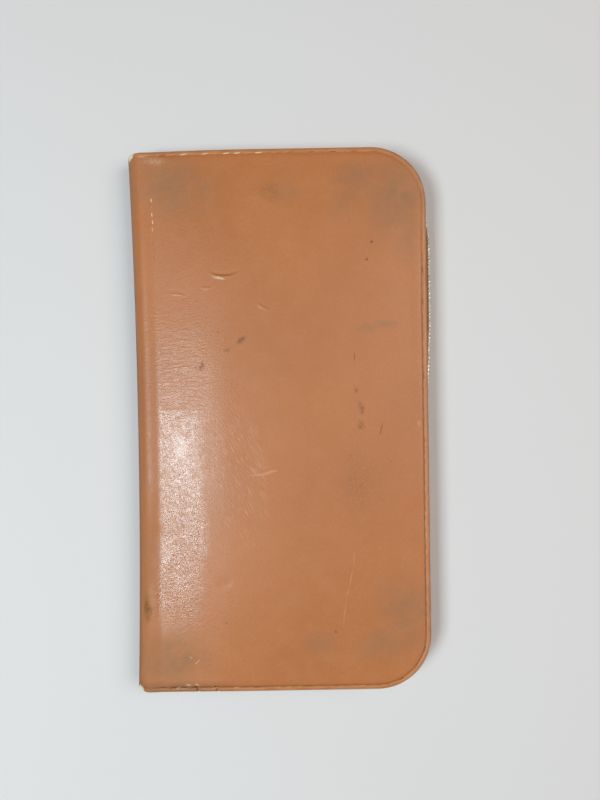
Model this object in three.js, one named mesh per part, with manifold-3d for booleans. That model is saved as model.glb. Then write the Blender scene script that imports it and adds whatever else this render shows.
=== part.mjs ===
// A leather toiletry case that zips shut round three sides, lying closed on its back panel.
// Millimetres: X runs from the spine to the open edge, Y along the spine, Z up from the surface it lies on.
// One piece of leather makes the front panel, the rounded spine and the back panel. Its cut edges are
// turned in and stitched to two cloth tapes, and the tapes carry the row of zip teeth between them.

import * as THREE from "three";
import { mergeVertices } from "three/addons/utils/BufferGeometryUtils.js";
import Module from "manifold-3d";

const wasm = await Module();
wasm.setup();

// Driving dimensions of the leather cover
const LENGTH = 266; // along the spine
const WIDTH = 146.4; // from the spine's ends to the open edge
const EDGE_DEPTH = 16.6; // thickness of the closed case at its edges and spine
const SPINE_LINE = 10.6; // where the panels meet the rounded spine
const CROWN = 3.6; // rise of the front panel above its edges
const CROWN_LINE = 48; // where the front panel is highest, from the spine
const CORNER_RADIUS = 27; // the two corners of the open side
const LEATHER = 1.8; // one layer of leather
const TURNED_EDGE = 2.6; // the edge, pared and folded back on itself
const FIT_GAP = 0.3; // clearance between neighbouring pieces

// What long use has done to the outline
const SPINE_BOW = 2.3; // how far the middle of the spine is drawn in
const UPPER_SLUMP = 1; // how far the upper end of the spine has dropped
const SLUMP_REACH = 60; // width over which that drop fades out

// The zip: a fine metal chain on two cloth tapes
const TOOTH_PITCH = 2; // along one row, the other row meshing halfway
const CHAIN_HEIGHT = 5;
const CHAIN_DEPTH = 2.2;
const TOOTH_RELIEF = 0.8; // how far a tooth stands out of its row
const TAPE = 1; // thickness of the cloth
const TAPE_HEM = 7; // how far the tape reaches in under the leather
const TAPE_STEP = 6.5; // length of one straight step along a tape
const CHAIN_START = 2; // end of the teeth at the top of the spine
const SLIDER = { length: 9, depth: 3.2, pull: 20, pullWidth: 4.4, pullDepth: 1.2 };

// Sections across the stitched edge, from the fold inwards: how far in, how far out of the
// panel's surface, and how thick the leather is there
const EDGE_SECTIONS = [
  { inset: 0, lift: -0.6, thick: TURNED_EDGE - 0.6 }, // rounded fold
  { inset: 0.7, lift: 0, thick: TURNED_EDGE },
  { inset: 1.7, lift: 0, thick: TURNED_EDGE },
  { inset: 2.4, lift: -0.4, thick: TURNED_EDGE - 0.4 }, // groove drawn in by the stitches
  { inset: 3.2, lift: 0, thick: TURNED_EDGE },
  { inset: 8, lift: 0, thick: LEATHER }, // single layer, past the turned-in hem
];

// Rings of the panel inside those sections, as shares of the way out from the middle of the spine line
const PANEL_RINGS = [0.86, 0.66, 0.46, 0.24, 0];

// Straight steps on each stretch of a panel's edge: upper edge, corner, open edge, corner, lower edge
const EDGE_STEPS = [8, 7, 12, 7, 8];
const SPINE_STEPS = 8;

// How far the chain's middle stands out from the cut edge, by distance along that edge
const CHAIN_RUN = [
  { along: 0, stand: -4.2 }, // tucked in beside the spine
  { along: 32, stand: -4.2 },
  { along: 60, stand: -1.2 },
  { along: 158, stand: -1.2 },
  { along: 168, stand: 2.3 }, // sprung out past the open edge
  { along: 208, stand: 2.4 },
  { along: 240, stand: -1.2 },
  { along: 448, stand: -1.2 },
  { along: 476, stand: -4.2 }, // tucked in again at the foot of the spine
  { along: 510, stand: -4.2 },
];

// Dents pressed into the front panel: place, size, and turn in degrees
const DENTS = [
  { x: 47.6, y: 70.5, length: 13, width: 3.2, depth: 0.5, turn: 0 },
  { x: 66.5, y: 54.9, length: 8, width: 2.6, depth: 0.45, turn: -28 },
  { x: 38.2, y: 65, length: 4.5, width: 1.8, depth: 0.3, turn: -8 },
  { x: 23.4, y: 60.6, length: 8, width: 2.4, depth: 0.3, turn: 12 },
  { x: 46.3, y: -82, length: 9, width: 8, depth: 0.35, turn: 40 },
];

// Cracks through the turned edge at the foot of the front panel
const CRACKS = [{ x: 30 }, { x: 39.9 }];
const CRACK_SIZE = { width: 0.7, length: 2.2, depth: 1.2 };

const SPINE_RADIUS = EDGE_DEPTH / 2; // upright, with a longer reach sideways to the spine line
const MID_HEIGHT = EDGE_DEPTH / 2;
const TOP = LENGTH / 2;

const leather = new THREE.MeshStandardMaterial({ color: 0xbb7a50, roughness: 0.45, metalness: 0 });
const tapeCloth = new THREE.MeshStandardMaterial({ color: 0x7d5433, roughness: 0.9, metalness: 0 });
const whiteMetal = new THREE.MeshStandardMaterial({ color: 0xb9b3a6, roughness: 0.35, metalness: 0.9 });

// Moves a point of the new, square case to where wear has left it
function settle({ x, y, z }) {
  const run = y / TOP;
  const bow = SPINE_BOW * (1 - run * run) * (1 - x / WIDTH);
  const slump = UPPER_SLUMP * Math.max(0, run) ** 2 * Math.max(0, 1 - x / SLUMP_REACH) ** 2;
  return new THREE.Vector3(x + bow, y - slump, z);
}

// Rise of the front panel above the plane of its edges
function crownRise(x, y) {
  const across =
    x < CROWN_LINE
      ? Math.sin((Math.PI / 2) * ((x - SPINE_LINE) / (CROWN_LINE - SPINE_LINE)))
      : 1 - ((x - CROWN_LINE) / (WIDTH - CROWN_LINE)) ** 2;
  return CROWN * across * (1 - (y / TOP) ** 4);
}

// The stretches of a panel's edge, moved in by an inset, from the top of the spine line to its foot
function edgeStretches(inset) {
  const cornerX = WIDTH - CORNER_RADIUS;
  const cornerY = TOP - CORNER_RADIUS;
  const radius = CORNER_RADIUS - inset;
  const point = (x, y) => new THREE.Vector2(x, y);
  return [
    new THREE.LineCurve(point(SPINE_LINE, cornerY + radius), point(cornerX, cornerY + radius)),
    new THREE.EllipseCurve(cornerX, cornerY, radius, radius, Math.PI / 2, 0, true),
    new THREE.LineCurve(point(cornerX + radius, cornerY), point(cornerX + radius, -cornerY)),
    new THREE.EllipseCurve(cornerX, -cornerY, radius, radius, 0, -Math.PI / 2, true),
    new THREE.LineCurve(point(cornerX, -cornerY - radius), point(SPINE_LINE, -cornerY - radius)),
  ];
}

// One ring of plan points on a panel, shrunk towards the middle of the spine line
function panelRing(inset, share) {
  const ring = edgeStretches(inset).flatMap((stretch, i) =>
    stretch.getPoints(EDGE_STEPS[i]).slice(i ? 1 : 0),
  );
  return ring.map((p) => new THREE.Vector2(SPINE_LINE + (p.x - SPINE_LINE) * share, p.y * share));
}

// Every ring of a panel from its edge to the middle of the spine line, with its section
function panelRings() {
  const innermost = EDGE_SECTIONS.at(-1);
  return [
    ...EDGE_SECTIONS.map((section) => ({ section, plan: panelRing(section.inset, 1) })),
    ...PANEL_RINGS.map((share) => ({ section: innermost, plan: panelRing(innermost.inset, share) })),
  ];
}

// Triangles of a grid of points, which face the viewer when rows run down and columns to the right
function gridTriangles(rows, turned = false) {
  const triangles = [];
  const add = (a, b, c) => {
    if (a.distanceTo(b) > 1e-6 && b.distanceTo(c) > 1e-6 && c.distanceTo(a) > 1e-6)
      triangles.push(...(turned ? [a, c, b] : [a, b, c]));
  };
  for (let i = 0; i + 1 < rows.length; i++)
    for (let j = 0; j + 1 < rows[i].length; j++) {
      add(rows[i][j], rows[i + 1][j], rows[i + 1][j + 1]);
      add(rows[i][j], rows[i + 1][j + 1], rows[i][j + 1]);
    }
  return triangles;
}

function closedGeometry(triangles) {
  return mergeVertices(new THREE.BufferGeometry().setFromPoints(triangles));
}

function solidOf(geometry) {
  const bare = geometry.index ? geometry.toNonIndexed() : geometry.clone();
  bare.deleteAttribute("normal");
  bare.deleteAttribute("uv");
  const merged = mergeVertices(bare);
  return new wasm.Manifold(
    new wasm.Mesh({
      numProp: 3,
      vertProperties: new Float32Array(merged.attributes.position.array),
      triVerts: new Uint32Array(merged.index.array),
    }),
  );
}

function geometryOf(solid) {
  const { vertProperties, triVerts } = solid.getMesh();
  return new THREE.BufferGeometry()
    .setAttribute("position", new THREE.BufferAttribute(vertProperties, 3))
    .setIndex(new THREE.BufferAttribute(triVerts, 1));
}

function named(name, geometry, material) {
  const mesh = new THREE.Mesh(geometry, material);
  mesh.name = name;
  return mesh;
}

// The folded sheet of leather before wear: outer and inner skins of both panels and the spine
function foldedCover() {
  const rings = panelRings();
  const frontSkin = (deep) =>
    rings.map(({ section, plan }) =>
      plan.map(({ x, y }) =>
        settle({ x, y, z: EDGE_DEPTH + crownRise(x, y) + section.lift - deep * section.thick }),
      ),
    );
  const backSkin = (deep) =>
    rings.map(({ section, plan }) =>
      plan.map(({ x, y }) => settle({ x, y, z: deep * section.thick - section.lift })),
    );
  // The ends of the rings lie on the spine line, so they give the rows of the spine
  const upper = rings.map(({ section, plan }) => ({ section, y: plan[0].y }));
  const lower = rings.map(({ section, plan }) => ({ section, y: plan.at(-1).y }));
  const spineRows = [...upper, ...lower.reverse().slice(1)];
  const spineSkin = (deep) =>
    spineRows.map(({ section, y }) => {
      const radius = SPINE_RADIUS + section.lift - deep * section.thick;
      return Array.from({ length: SPINE_STEPS + 1 }, (_, step) => {
        const angle = Math.PI * (0.5 + step / SPINE_STEPS);
        const x = SPINE_LINE + (radius + SPINE_LINE - SPINE_RADIUS) * Math.cos(angle);
        return settle({ x, y, z: MID_HEIGHT + radius * Math.sin(angle) });
      });
    });

  const [front, frontInside] = [frontSkin(0), frontSkin(1)];
  const [back, backInside] = [backSkin(0), backSkin(1)];
  const [spine, spineInside] = [spineSkin(0), spineSkin(1)];
  return closedGeometry([
    ...gridTriangles(front),
    ...gridTriangles(frontInside, true),
    ...gridTriangles(back, true),
    ...gridTriangles(backInside),
    ...gridTriangles(spine, true),
    ...gridTriangles(spineInside),
    ...gridTriangles([frontInside[0], front[0]]),
    ...gridTriangles([back[0], backInside[0]]),
    ...gridTriangles([spine[0], spineInside[0]]),
    ...gridTriangles([spine.at(-1), spineInside.at(-1)], true),
  ]);
}

// A shallow lens that presses one dent into the front panel
function dentTool({ x, y, length, width, depth, turn }) {
  const { x: atX, y: atY, z } = settle({ x, y, z: EDGE_DEPTH + crownRise(x, y) });
  const lens = new THREE.SphereGeometry(0.5, 12, 6);
  lens.scale(length, width, 2 * depth);
  lens.rotateZ(THREE.MathUtils.degToRad(turn));
  return solidOf(lens.translate(atX, atY, z));
}

// A thin blade that cracks the turned edge at the foot of the front panel
function crackTool({ x }) {
  const { width, length, depth } = CRACK_SIZE;
  const at = settle({ x, y: -TOP, z: EDGE_DEPTH });
  const blade = new THREE.BoxGeometry(width, 2 * length, 2 * depth);
  return solidOf(blade.translate(at.x, at.y, at.z));
}

function makeCover() {
  const wear = [...DENTS.map(dentTool), ...CRACKS.map(crackTool)];
  const worn = wear.reduce((cover, tool) => cover.subtract(tool), solidOf(foldedCover()));
  return named("cover", geometryOf(worn), leather);
}

// The line that the zip follows, which is the cut edge of the panels
const edgeLine = new THREE.CurvePath();
edgeStretches(0).forEach((stretch) => edgeLine.add(stretch));
const EDGE_LENGTH = edgeLine.getLength();

// How far the chain stands out at a distance along the edge, eased between the rows of its table
function chainStand(along) {
  const next = CHAIN_RUN.findIndex((row) => row.along >= along);
  if (next <= 0) return CHAIN_RUN.at(next).stand;
  const [from, to] = [CHAIN_RUN[next - 1], CHAIN_RUN[next]];
  const eased = THREE.MathUtils.smoothstep(along, from.along, to.along);
  return THREE.MathUtils.lerp(from.stand, to.stand, eased);
}

// The plan frame at a distance along the edge: a point on it, the way it heads and the way out
function edgeFrame(along) {
  const share = along / EDGE_LENGTH;
  const at = edgeLine.getPoint(share);
  const heading = edgeLine.getTangent(share);
  return { at, heading, outward: new THREE.Vector2(-heading.y, heading.x), along };
}

// Sweeps a closed section along the edge between two distances. The section is a list of
// [out from the edge, height] pairs, counter-clockwise, for the frame's distance and its number
function sweepAlongEdge(from, to, steps, sectionAt) {
  const rings = Array.from({ length: steps + 1 }, (_, i) => {
    const frame = edgeFrame(THREE.MathUtils.lerp(from, to, i / steps));
    const section = sectionAt(frame.along, i);
    const ring = section.map(([out, z]) => {
      const { x, y } = frame.outward.clone().multiplyScalar(out).add(frame.at);
      return settle({ x, y, z });
    });
    return { section, ring };
  });
  const cap = ({ section, ring }, turned) =>
    THREE.ShapeUtils.triangulateShape(
      section.map(([out, z]) => new THREE.Vector2(out, z)),
      [],
    ).flatMap(([a, b, c]) => (turned ? [ring[a], ring[c], ring[b]] : [ring[a], ring[b], ring[c]]));
  const closedRows = rings.map(({ ring }) => [...ring, ring[0]]);
  return closedGeometry([
    ...gridTriangles(closedRows, true),
    ...cap(rings[0], true),
    ...cap(rings.at(-1), false),
  ]);
}

// Section of the front tape: a hem lying under the turned edge, and a leg running down to the teeth
function frontTapeSection(along) {
  const half = TAPE / 2;
  const chain = chainStand(along);
  const fold = Math.min(chain, -1.2);
  const hemTop = EDGE_DEPTH - TURNED_EDGE - FIT_GAP;
  const legFoot = MID_HEIGHT + CHAIN_HEIGHT / 2 + FIT_GAP;
  return [
    [-TAPE_HEM, hemTop - TAPE],
    [fold - half, hemTop - TAPE],
    [chain - half, legFoot],
    [chain + half, legFoot],
    [fold + half, hemTop],
    [-TAPE_HEM, hemTop],
  ];
}

// The back tape mirrors the front one about the middle of the case's depth
function backTapeSection(along) {
  return frontTapeSection(along)
    .map(([out, z]) => [out, EDGE_DEPTH - z])
    .reverse();
}

// Section of the closed chain: front teeth stand out at even steps, back teeth between them
function chainSection(along, step) {
  const chain = chainStand(along);
  const [inner, outer] = [chain - CHAIN_DEPTH / 2, chain + CHAIN_DEPTH / 2];
  const [foot, head] = [MID_HEIGHT - CHAIN_HEIGHT / 2, MID_HEIGHT + CHAIN_HEIGHT / 2];
  const frontTooth = step % 2 === 0;
  return [
    [inner, foot],
    [outer - (frontTooth ? TOOTH_RELIEF : 0), foot],
    [outer - TOOTH_RELIEF / 2, MID_HEIGHT],
    [outer - (frontTooth ? 0 : TOOTH_RELIEF), head],
    [inner, head],
  ];
}

function makeZip() {
  const tapeSteps = Math.round(EDGE_LENGTH / TAPE_STEP);
  const chainEnd = EDGE_LENGTH - CHAIN_START - SLIDER.length - FIT_GAP;
  const chainSteps = Math.round((chainEnd - CHAIN_START) / (TOOTH_PITCH / 2));
  const zip = new THREE.Group();
  zip.add(
    named("zip_tape_front", sweepAlongEdge(0, EDGE_LENGTH, tapeSteps, frontTapeSection), tapeCloth),
    named("zip_tape_back", sweepAlongEdge(0, EDGE_LENGTH, tapeSteps, backTapeSection), tapeCloth),
    named("zip_teeth", sweepAlongEdge(CHAIN_START, chainEnd, chainSteps, chainSection), whiteMetal),
    makeSlider(),
  );
  return zip;
}

// The zip's slider with its pull laid back along the teeth, in one piece.
// Its own X runs back along the zip, away from the spine, and its Y runs out of the case
function makeSlider() {
  const { length, depth, pull, pullWidth, pullDepth } = SLIDER;
  const half = CHAIN_HEIGHT / 2;
  const shield = new THREE.Shape();
  shield.moveTo(0, -half * 0.6);
  shield.lineTo(length * 0.3, -half);
  shield.lineTo(length, -half * 0.8);
  shield.lineTo(length, half * 0.8);
  shield.lineTo(length * 0.3, half);
  shield.lineTo(0, half * 0.6);
  const body = new THREE.ExtrudeGeometry(shield, { depth, bevelEnabled: false });
  body.rotateX(Math.PI / 2).translate(0, depth / 2, 0);

  const tab = new THREE.Shape();
  tab.moveTo(0, -pullWidth / 2);
  tab.lineTo(pull - pullWidth / 2, -pullWidth / 2);
  tab.absarc(pull - pullWidth / 2, 0, pullWidth / 2, -Math.PI / 2, Math.PI / 2);
  tab.lineTo(0, pullWidth / 2);
  tab.holes.push(new THREE.Path().absarc(pull - pullWidth, 0, pullWidth / 4, 0, 2 * Math.PI, true));
  const pullTab = new THREE.ExtrudeGeometry(tab, {
    depth: pullDepth,
    bevelEnabled: false,
    curveSegments: 8,
  });
  const pullOut = depth / 2 + 2 * FIT_GAP + pullDepth;
  pullTab.rotateX(Math.PI / 2).translate(length * 0.35, pullOut, 0);

  const bailSize = length * 0.3;
  const bail = new THREE.BoxGeometry(bailSize, pullOut, bailSize);
  bail.translate(length * 0.5, pullOut / 2, 0);

  const parts = [body, pullTab, bail].map(solidOf);
  const slider = named("zip_slider", geometryOf(parts[0].add(parts[1]).add(parts[2])), whiteMetal);
  const { at, heading, outward } = edgeFrame(EDGE_LENGTH - CHAIN_START);
  const middle = outward.clone().multiplyScalar(chainStand(EDGE_LENGTH)).add(at);
  slider.position.copy(settle({ x: middle.x, y: middle.y, z: MID_HEIGHT }));
  slider.rotation.x = Math.PI; // the lower edge is seen from outside with the zip running to the left
  slider.rotation.z = Math.atan2(heading.y, heading.x) - Math.PI;
  return slider;
}

// The origin is the middle of the case's underside
function standOnOrigin(pieces) {
  const box = new THREE.Box3().setFromObject(pieces);
  const middle = box.getCenter(new THREE.Vector3());
  pieces.position.set(-middle.x, -middle.y, -box.min.z);
  return new THREE.Group().add(pieces);
}

const toiletryCase = new THREE.Group().add(makeCover(), makeZip());

export default standOnOrigin(toiletryCase);
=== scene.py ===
"""The looks of a leather toiletry case that zips round three sides, lying shut on its back panel.

Lengths are metres in the case's own frame: X from the spine to the open edge, Y along the spine, Z up.
"""

import logging
import math
import random
from collections.abc import Iterable, Iterator
from dataclasses import dataclass
from enum import Enum
from typing import ClassVar

import bmesh
import bpy
from mathutils import Matrix, Vector, noise


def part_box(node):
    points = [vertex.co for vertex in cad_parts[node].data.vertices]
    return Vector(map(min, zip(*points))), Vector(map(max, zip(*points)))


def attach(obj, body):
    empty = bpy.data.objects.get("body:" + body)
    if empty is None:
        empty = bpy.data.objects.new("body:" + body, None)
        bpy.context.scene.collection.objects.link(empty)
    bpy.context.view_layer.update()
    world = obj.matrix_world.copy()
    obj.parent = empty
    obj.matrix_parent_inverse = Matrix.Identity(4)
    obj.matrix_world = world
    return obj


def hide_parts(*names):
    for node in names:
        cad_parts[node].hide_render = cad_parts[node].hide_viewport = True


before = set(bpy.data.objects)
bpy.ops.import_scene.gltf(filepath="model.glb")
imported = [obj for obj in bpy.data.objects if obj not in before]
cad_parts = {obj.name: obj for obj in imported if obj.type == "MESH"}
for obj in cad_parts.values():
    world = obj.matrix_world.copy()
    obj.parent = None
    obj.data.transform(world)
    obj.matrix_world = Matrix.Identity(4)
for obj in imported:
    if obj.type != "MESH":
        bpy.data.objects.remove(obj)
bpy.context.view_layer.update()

LOG = logging.getLogger("toiletry_case")
MM = 0.001
BODY = "root"
TINY = 1e-6
NOISE_MIDDLE = 0.5
Colour = tuple[float, float, float]

# Where something starts and ends, or the least and the most of it
Span = tuple[float, float]


def ease(value: float, start: float, end: float) -> float:
    """Smooth step from 0 at start to 1 at end.

    Args:
        value: The value to ease.
        start: Where the step starts, which may lie above its end.
        end: Where the step ends.

    Returns:
        A number from 0 to 1.
    """
    share = min(1.0, max(0.0, (value - start) / (end - start)))
    return share * share * (3 - 2 * share)


def swell(distance: float, width: float) -> float:
    """A bell curve that is 1 at no distance and fades over its width."""
    return math.exp(-((distance / width) ** 2))


class Slot(Enum):
    """The material slots of the case's pieces."""

    LEATHER = "leather"
    TAPE = "zip_tape"
    TEETH = "zip_teeth"
    SLIDER = "zip_slider"


class Side(Enum):
    """The two sides of the closed case, which the zip joins."""

    FRONT = 1
    BACK = -1


class Wire:
    """An output of a shader's node, which takes part in Python arithmetic where it is a number."""

    def __init__(self, bench: "Bench", socket: bpy.types.NodeSocket) -> None:
        """Wraps an output socket of one of the bench's nodes."""
        self.bench = bench
        self.socket = socket

    def _math(self, operation: str, *values: "Wire | float") -> "Wire":
        """Adds a Math node for one operation on the given values."""
        inputs = dict(enumerate(values))
        return self.bench.node("ShaderNodeMath", {"operation": operation}, inputs)

    def __add__(self, other: "Wire | float") -> "Wire":
        """Sum."""
        return self._math("ADD", self, other)

    def __radd__(self, other: float) -> "Wire":
        """Sum with a plain number on the left."""
        return self._math("ADD", other, self)

    def __sub__(self, other: "Wire | float") -> "Wire":
        """Difference."""
        return self._math("SUBTRACT", self, other)

    def __rsub__(self, other: float) -> "Wire":
        """Difference from a plain number."""
        return self._math("SUBTRACT", other, self)

    def __mul__(self, other: "Wire | float") -> "Wire":
        """Product."""
        return self._math("MULTIPLY", self, other)

    def __rmul__(self, other: float) -> "Wire":
        """Product with a plain number on the left."""
        return self._math("MULTIPLY", other, self)

    def __or__(self, other: "Wire | float") -> "Wire":
        """The larger of two masks."""
        return self._math("MAXIMUM", self, other)

    def sine(self) -> "Wire":
        """Sine of this value in radians."""
        return self._math("SINE", self)

    def step(self, start: float, end: float) -> "Wire":
        """Smooth step of this value from 0 at start to 1 at end.

        Args:
            start: Where the step starts, which may lie above its end.
            end: Where the step ends.

        Returns:
            The stepped value.
        """
        inputs = {"Value": self, "From Min": start, "From Max": end}
        return self.bench.node("ShaderNodeMapRange", {"interpolation_type": "SMOOTHSTEP"}, inputs)


@dataclass(frozen=True)
class Lumps:
    """A soft random pattern: lumps to a metre, octaves of finer lumps and how strong those are."""

    count: float
    octaves: float = 3.0
    roughness: float = 0.55


class Bench:
    """One material's node tree, with the few ways that its nodes are made."""

    # Sockets of a Mix node for colours, by number
    SHARE: int = 0
    FIRST: int = 6
    SECOND: int = 7
    MIXED: int = 2

    def __init__(self, name: str) -> None:
        """Starts an empty material.

        Args:
            name: The material's name.
        """
        self.material = bpy.data.materials.new(name)
        self.material.use_nodes = True
        self.tree = self.material.node_tree
        self.tree.nodes.clear()

    def add(self, kind: str, settings: dict | None = None, inputs: dict | None = None) -> bpy.types.Node:
        """Adds a node.

        Args:
            kind: The node's type.
            settings: Properties of the node, set first.
            inputs: Values or wires by socket name or number.

        Returns:
            The node.
        """
        made = self.tree.nodes.new(kind)
        for name, value in (settings or {}).items():
            setattr(made, name, value)
        for name, value in (inputs or {}).items():
            if isinstance(value, Wire):
                self.tree.links.new(value.socket, made.inputs[name])
            else:
                made.inputs[name].default_value = value
        return made

    def node(self, kind: str, settings: dict | None = None, inputs: dict | None = None,
             output: str | int = 0) -> Wire:
        """Adds a node and takes one of its outputs.

        Args:
            kind: The node's type.
            settings: Properties of the node, set first.
            inputs: Values or wires by socket name or number.
            output: The socket that is used.

        Returns:
            The chosen output as a wire.
        """
        return Wire(self, self.add(kind, settings, inputs).outputs[output])

    def vectors(self, operation: str, inputs: dict, output: str = "Vector") -> Wire:
        """Adds a Vector Math node.

        Args:
            operation: What it works out.
            inputs: Values or wires by socket name or number.
            output: The socket that is used, for a vector or for a number.

        Returns:
            The result as a wire.
        """
        return self.node("ShaderNodeVectorMath", {"operation": operation}, inputs, output)

    def mix(self, share: Wire, first: "Colour | Wire", second: "Colour | Wire") -> Wire:
        """Mixes two colours.

        Args:
            share: How much of the second colour there is.
            first: The colour where the share is 0.
            second: The colour where the share is 1.

        Returns:
            The mixed colour.
        """
        pair = [value if isinstance(value, Wire) else (*value, 1.0) for value in (first, second)]
        inputs = {self.SHARE: share, self.FIRST: pair[0], self.SECOND: pair[1]}
        return self.node("ShaderNodeMix", {"data_type": "RGBA"}, inputs, self.MIXED)

    def place(self) -> Wire:
        """The surface point in the case's own frame."""
        return self.node("ShaderNodeTexCoord", output="Object")

    def split(self, vector: Wire) -> tuple[Wire, Wire, Wire]:
        """The three parts of a vector."""
        parts = self.add("ShaderNodeSeparateXYZ", {}, {0: vector}).outputs
        return tuple(Wire(self, part) for part in parts)

    def stretched(self, place: Wire, scale: tuple[float, float, float], turn: float = 0.0,
                  middle: tuple[float, float, float] = (0.0, 0.0, 0.0)) -> Wire:
        """Places measured from a middle, turned about Z and divided by a length along each axis.

        Args:
            place: The point on the surface.
            scale: The length along each axis that becomes one unit.
            turn: Turn about Z in degrees.
            middle: The point that is measured from.

        Returns:
            The stretched place.
        """
        rotation = (0, 0, math.radians(turn))
        inputs = {"Vector": place, "Location": middle, "Rotation": rotation, "Scale": scale}
        return self.node("ShaderNodeMapping", {"vector_type": "TEXTURE"}, inputs)

    def grain(self, place: Wire, lumps: Lumps) -> Wire:
        """Soft noise from 0 to 1.

        Args:
            place: The point on the surface.
            lumps: The pattern, whose lumps are counted to a unit where the place is stretched.

        Returns:
            The noise value.
        """
        inputs = {
            "Vector": place,
            "Scale": lumps.count,
            "Detail": lumps.octaves,
            "Roughness": lumps.roughness,
        }
        return self.node("ShaderNodeTexNoise", {}, inputs)

    def attribute(self, name: str) -> Wire:
        """A number that the mesh carries at its vertices."""
        return self.node("ShaderNodeAttribute", {"attribute_name": name}, output="Fac")

    def shade(self, colour: Wire, roughness: Wire, height: Wire, depth: float,
              constants: dict[str, object]) -> bpy.types.Material:
        """Finishes the material with one shader.

        Args:
            colour: Base colour.
            roughness: Roughness.
            height: Relief from 0 to 1.
            depth: How deep a relief of 1 is, in metres.
            constants: Values that hold all over the surface, by the shader's socket.

        Returns:
            The finished material.
        """
        bump = self.node("ShaderNodeBump", {}, {"Height": height, "Distance": depth, "Strength": 1.0})
        inputs = {"Base Color": colour, "Roughness": roughness, "Normal": bump, **constants}
        shader = self.node("ShaderNodeBsdfPrincipled", {}, inputs)
        self.add("ShaderNodeOutputMaterial", {}, {"Surface": shader})
        return self.material


@dataclass(frozen=True)
class Mark:
    """A mark on the leather: its middle, half its size and its turn, in millimetres and degrees."""

    x: float
    y: float
    half_x: float
    half_y: float
    turn: float = 0.0
    strength: float = 1.0


@dataclass(frozen=True)
class MarkKind:
    """The marks of one kind, how softly they fade and how ragged their outlines are.

    The softness is the share of a mark's size over which it fades. A ragged outline is shifted at random by
    up to its reach, in millimetres, in a pattern with that many lumps to a metre.
    """

    marks: tuple[Mark, ...]
    soft: float
    lumps: float = 0.0
    reach: float = 0.0


@dataclass(frozen=True)
class Crease:
    """A crease in the front panel: a curved, raised lip, and a hollow above it.

    The middle is in the case's frame. The sag is how far the ends stand above the middle. All sizes are in
    millimetres, and the turn is in degrees.
    """

    # Where the ends fade, in half spans, and the parts of the crease, in widths
    ENDS: ClassVar[Span] = (1.15, 0.45)
    HOLLOW_RISE: ClassVar[float] = 1.3
    HOLLOW_WIDTH: ClassVar[float] = 1.2
    LIP_WIDTH: ClassVar[float] = 0.7

    x: float
    y: float
    span: float
    sag: float
    turn: float
    depth: float
    lip: float
    width: float

    def height(self, point: Vector) -> float:
        """Height of the crease at a point.

        Args:
            point: The point in the case's frame.

        Returns:
            The height, which is 0 away from the crease.
        """
        offset = point.xy - Vector((self.x, self.y)) * MM
        if offset.length > self.span * MM:
            return 0.0
        offset.rotate(Matrix.Rotation(math.radians(-self.turn), 2))
        run = offset.x / (self.span * MM / 2)
        above = offset.y - self.sag * MM * run * run
        width = self.width * MM
        hollow = self.depth * swell(above - self.HOLLOW_RISE * width, self.HOLLOW_WIDTH * width)
        lip = self.lip * swell(above, self.LIP_WIDTH * width)
        return ease(abs(run), *self.ENDS) * (lip - hollow) * MM


@dataclass(frozen=True)
class Fade:
    """A soft step along an axis of the case, from none at its start to all at its end, in millimetres."""

    start: float
    end: float

    def of(self, place: Wire) -> Wire:
        """The step's mask for one part of a surface point."""
        return place.step(self.start * MM, self.end * MM)


@dataclass(frozen=True)
class WrinkleField:
    """A stretch of fine wrinkles: their lengths along each axis, turn and octaves, and where they lie.

    Lengths are in millimetres, and the turn is in degrees.
    """

    lengths: tuple[float, float, float]
    turn: float
    octaves: float
    across: Fade
    top: Fade
    foot: Fade


@dataclass(frozen=True)
class Layer:
    """A layer of the leather's colour: where it lies, how strong it is and what it is tinted with."""

    mask: Wire
    strength: float
    tint: Colour


SPECKS = MarkKind(
    marks=(
        Mark(44.6, 86.4, 1.0, 0.9),
        Mark(41.8, 77.9, 0.9, 0.8),
        Mark(32.8, -17.4, 0.5, 0.5, 0, 0.6),
        Mark(52.5, -20.5, 0.6, 0.5, 0, 0.7),
        Mark(24.2, -103.5, 0.8, 0.7),
        Mark(-29.1, -98.0, 0.7, 0.7, 0, 0.7),
        Mark(-30.3, 43.9, 0.7, 0.5, 0, 0.6),
        Mark(-41.7, 27.3, 0.9, 0.7, 30, 0.8),
        Mark(38.9, 3.7, 0.5, 0.9, 0, 0.7),
        Mark(39.7, -3.4, 0.5, 0.6, 0, 0.7),
    ),
    soft=0.6,
    lumps=900,
    reach=0.7,
)
FLECKS = MarkKind(
    marks=(
        Mark(-19.4, 39.6, 4.2, 2.6, 38, 0.9),
        Mark(-26.2, 34.6, 2.6, 1.6, 30, 0.7),
        Mark(-38.8, 27.6, 3.6, 1.9, 68, 0.85),
        Mark(35.8, 14.5, 1.4, 3.0, 8, 0.6),
        Mark(38.4, 6.0, 1.7, 4.5, 4, 0.7),
        Mark(37.9, -2.2, 2.2, 3.6, -6, 0.6),
        Mark(-4.5, 111.5, 9.0, 6.0, -30, 0.35),
        Mark(36.0, -30.0, 14.0, 20.0, 0, 0.25),
    ),
    soft=0.9,
    lumps=300,
    reach=1.5,
)
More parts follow.
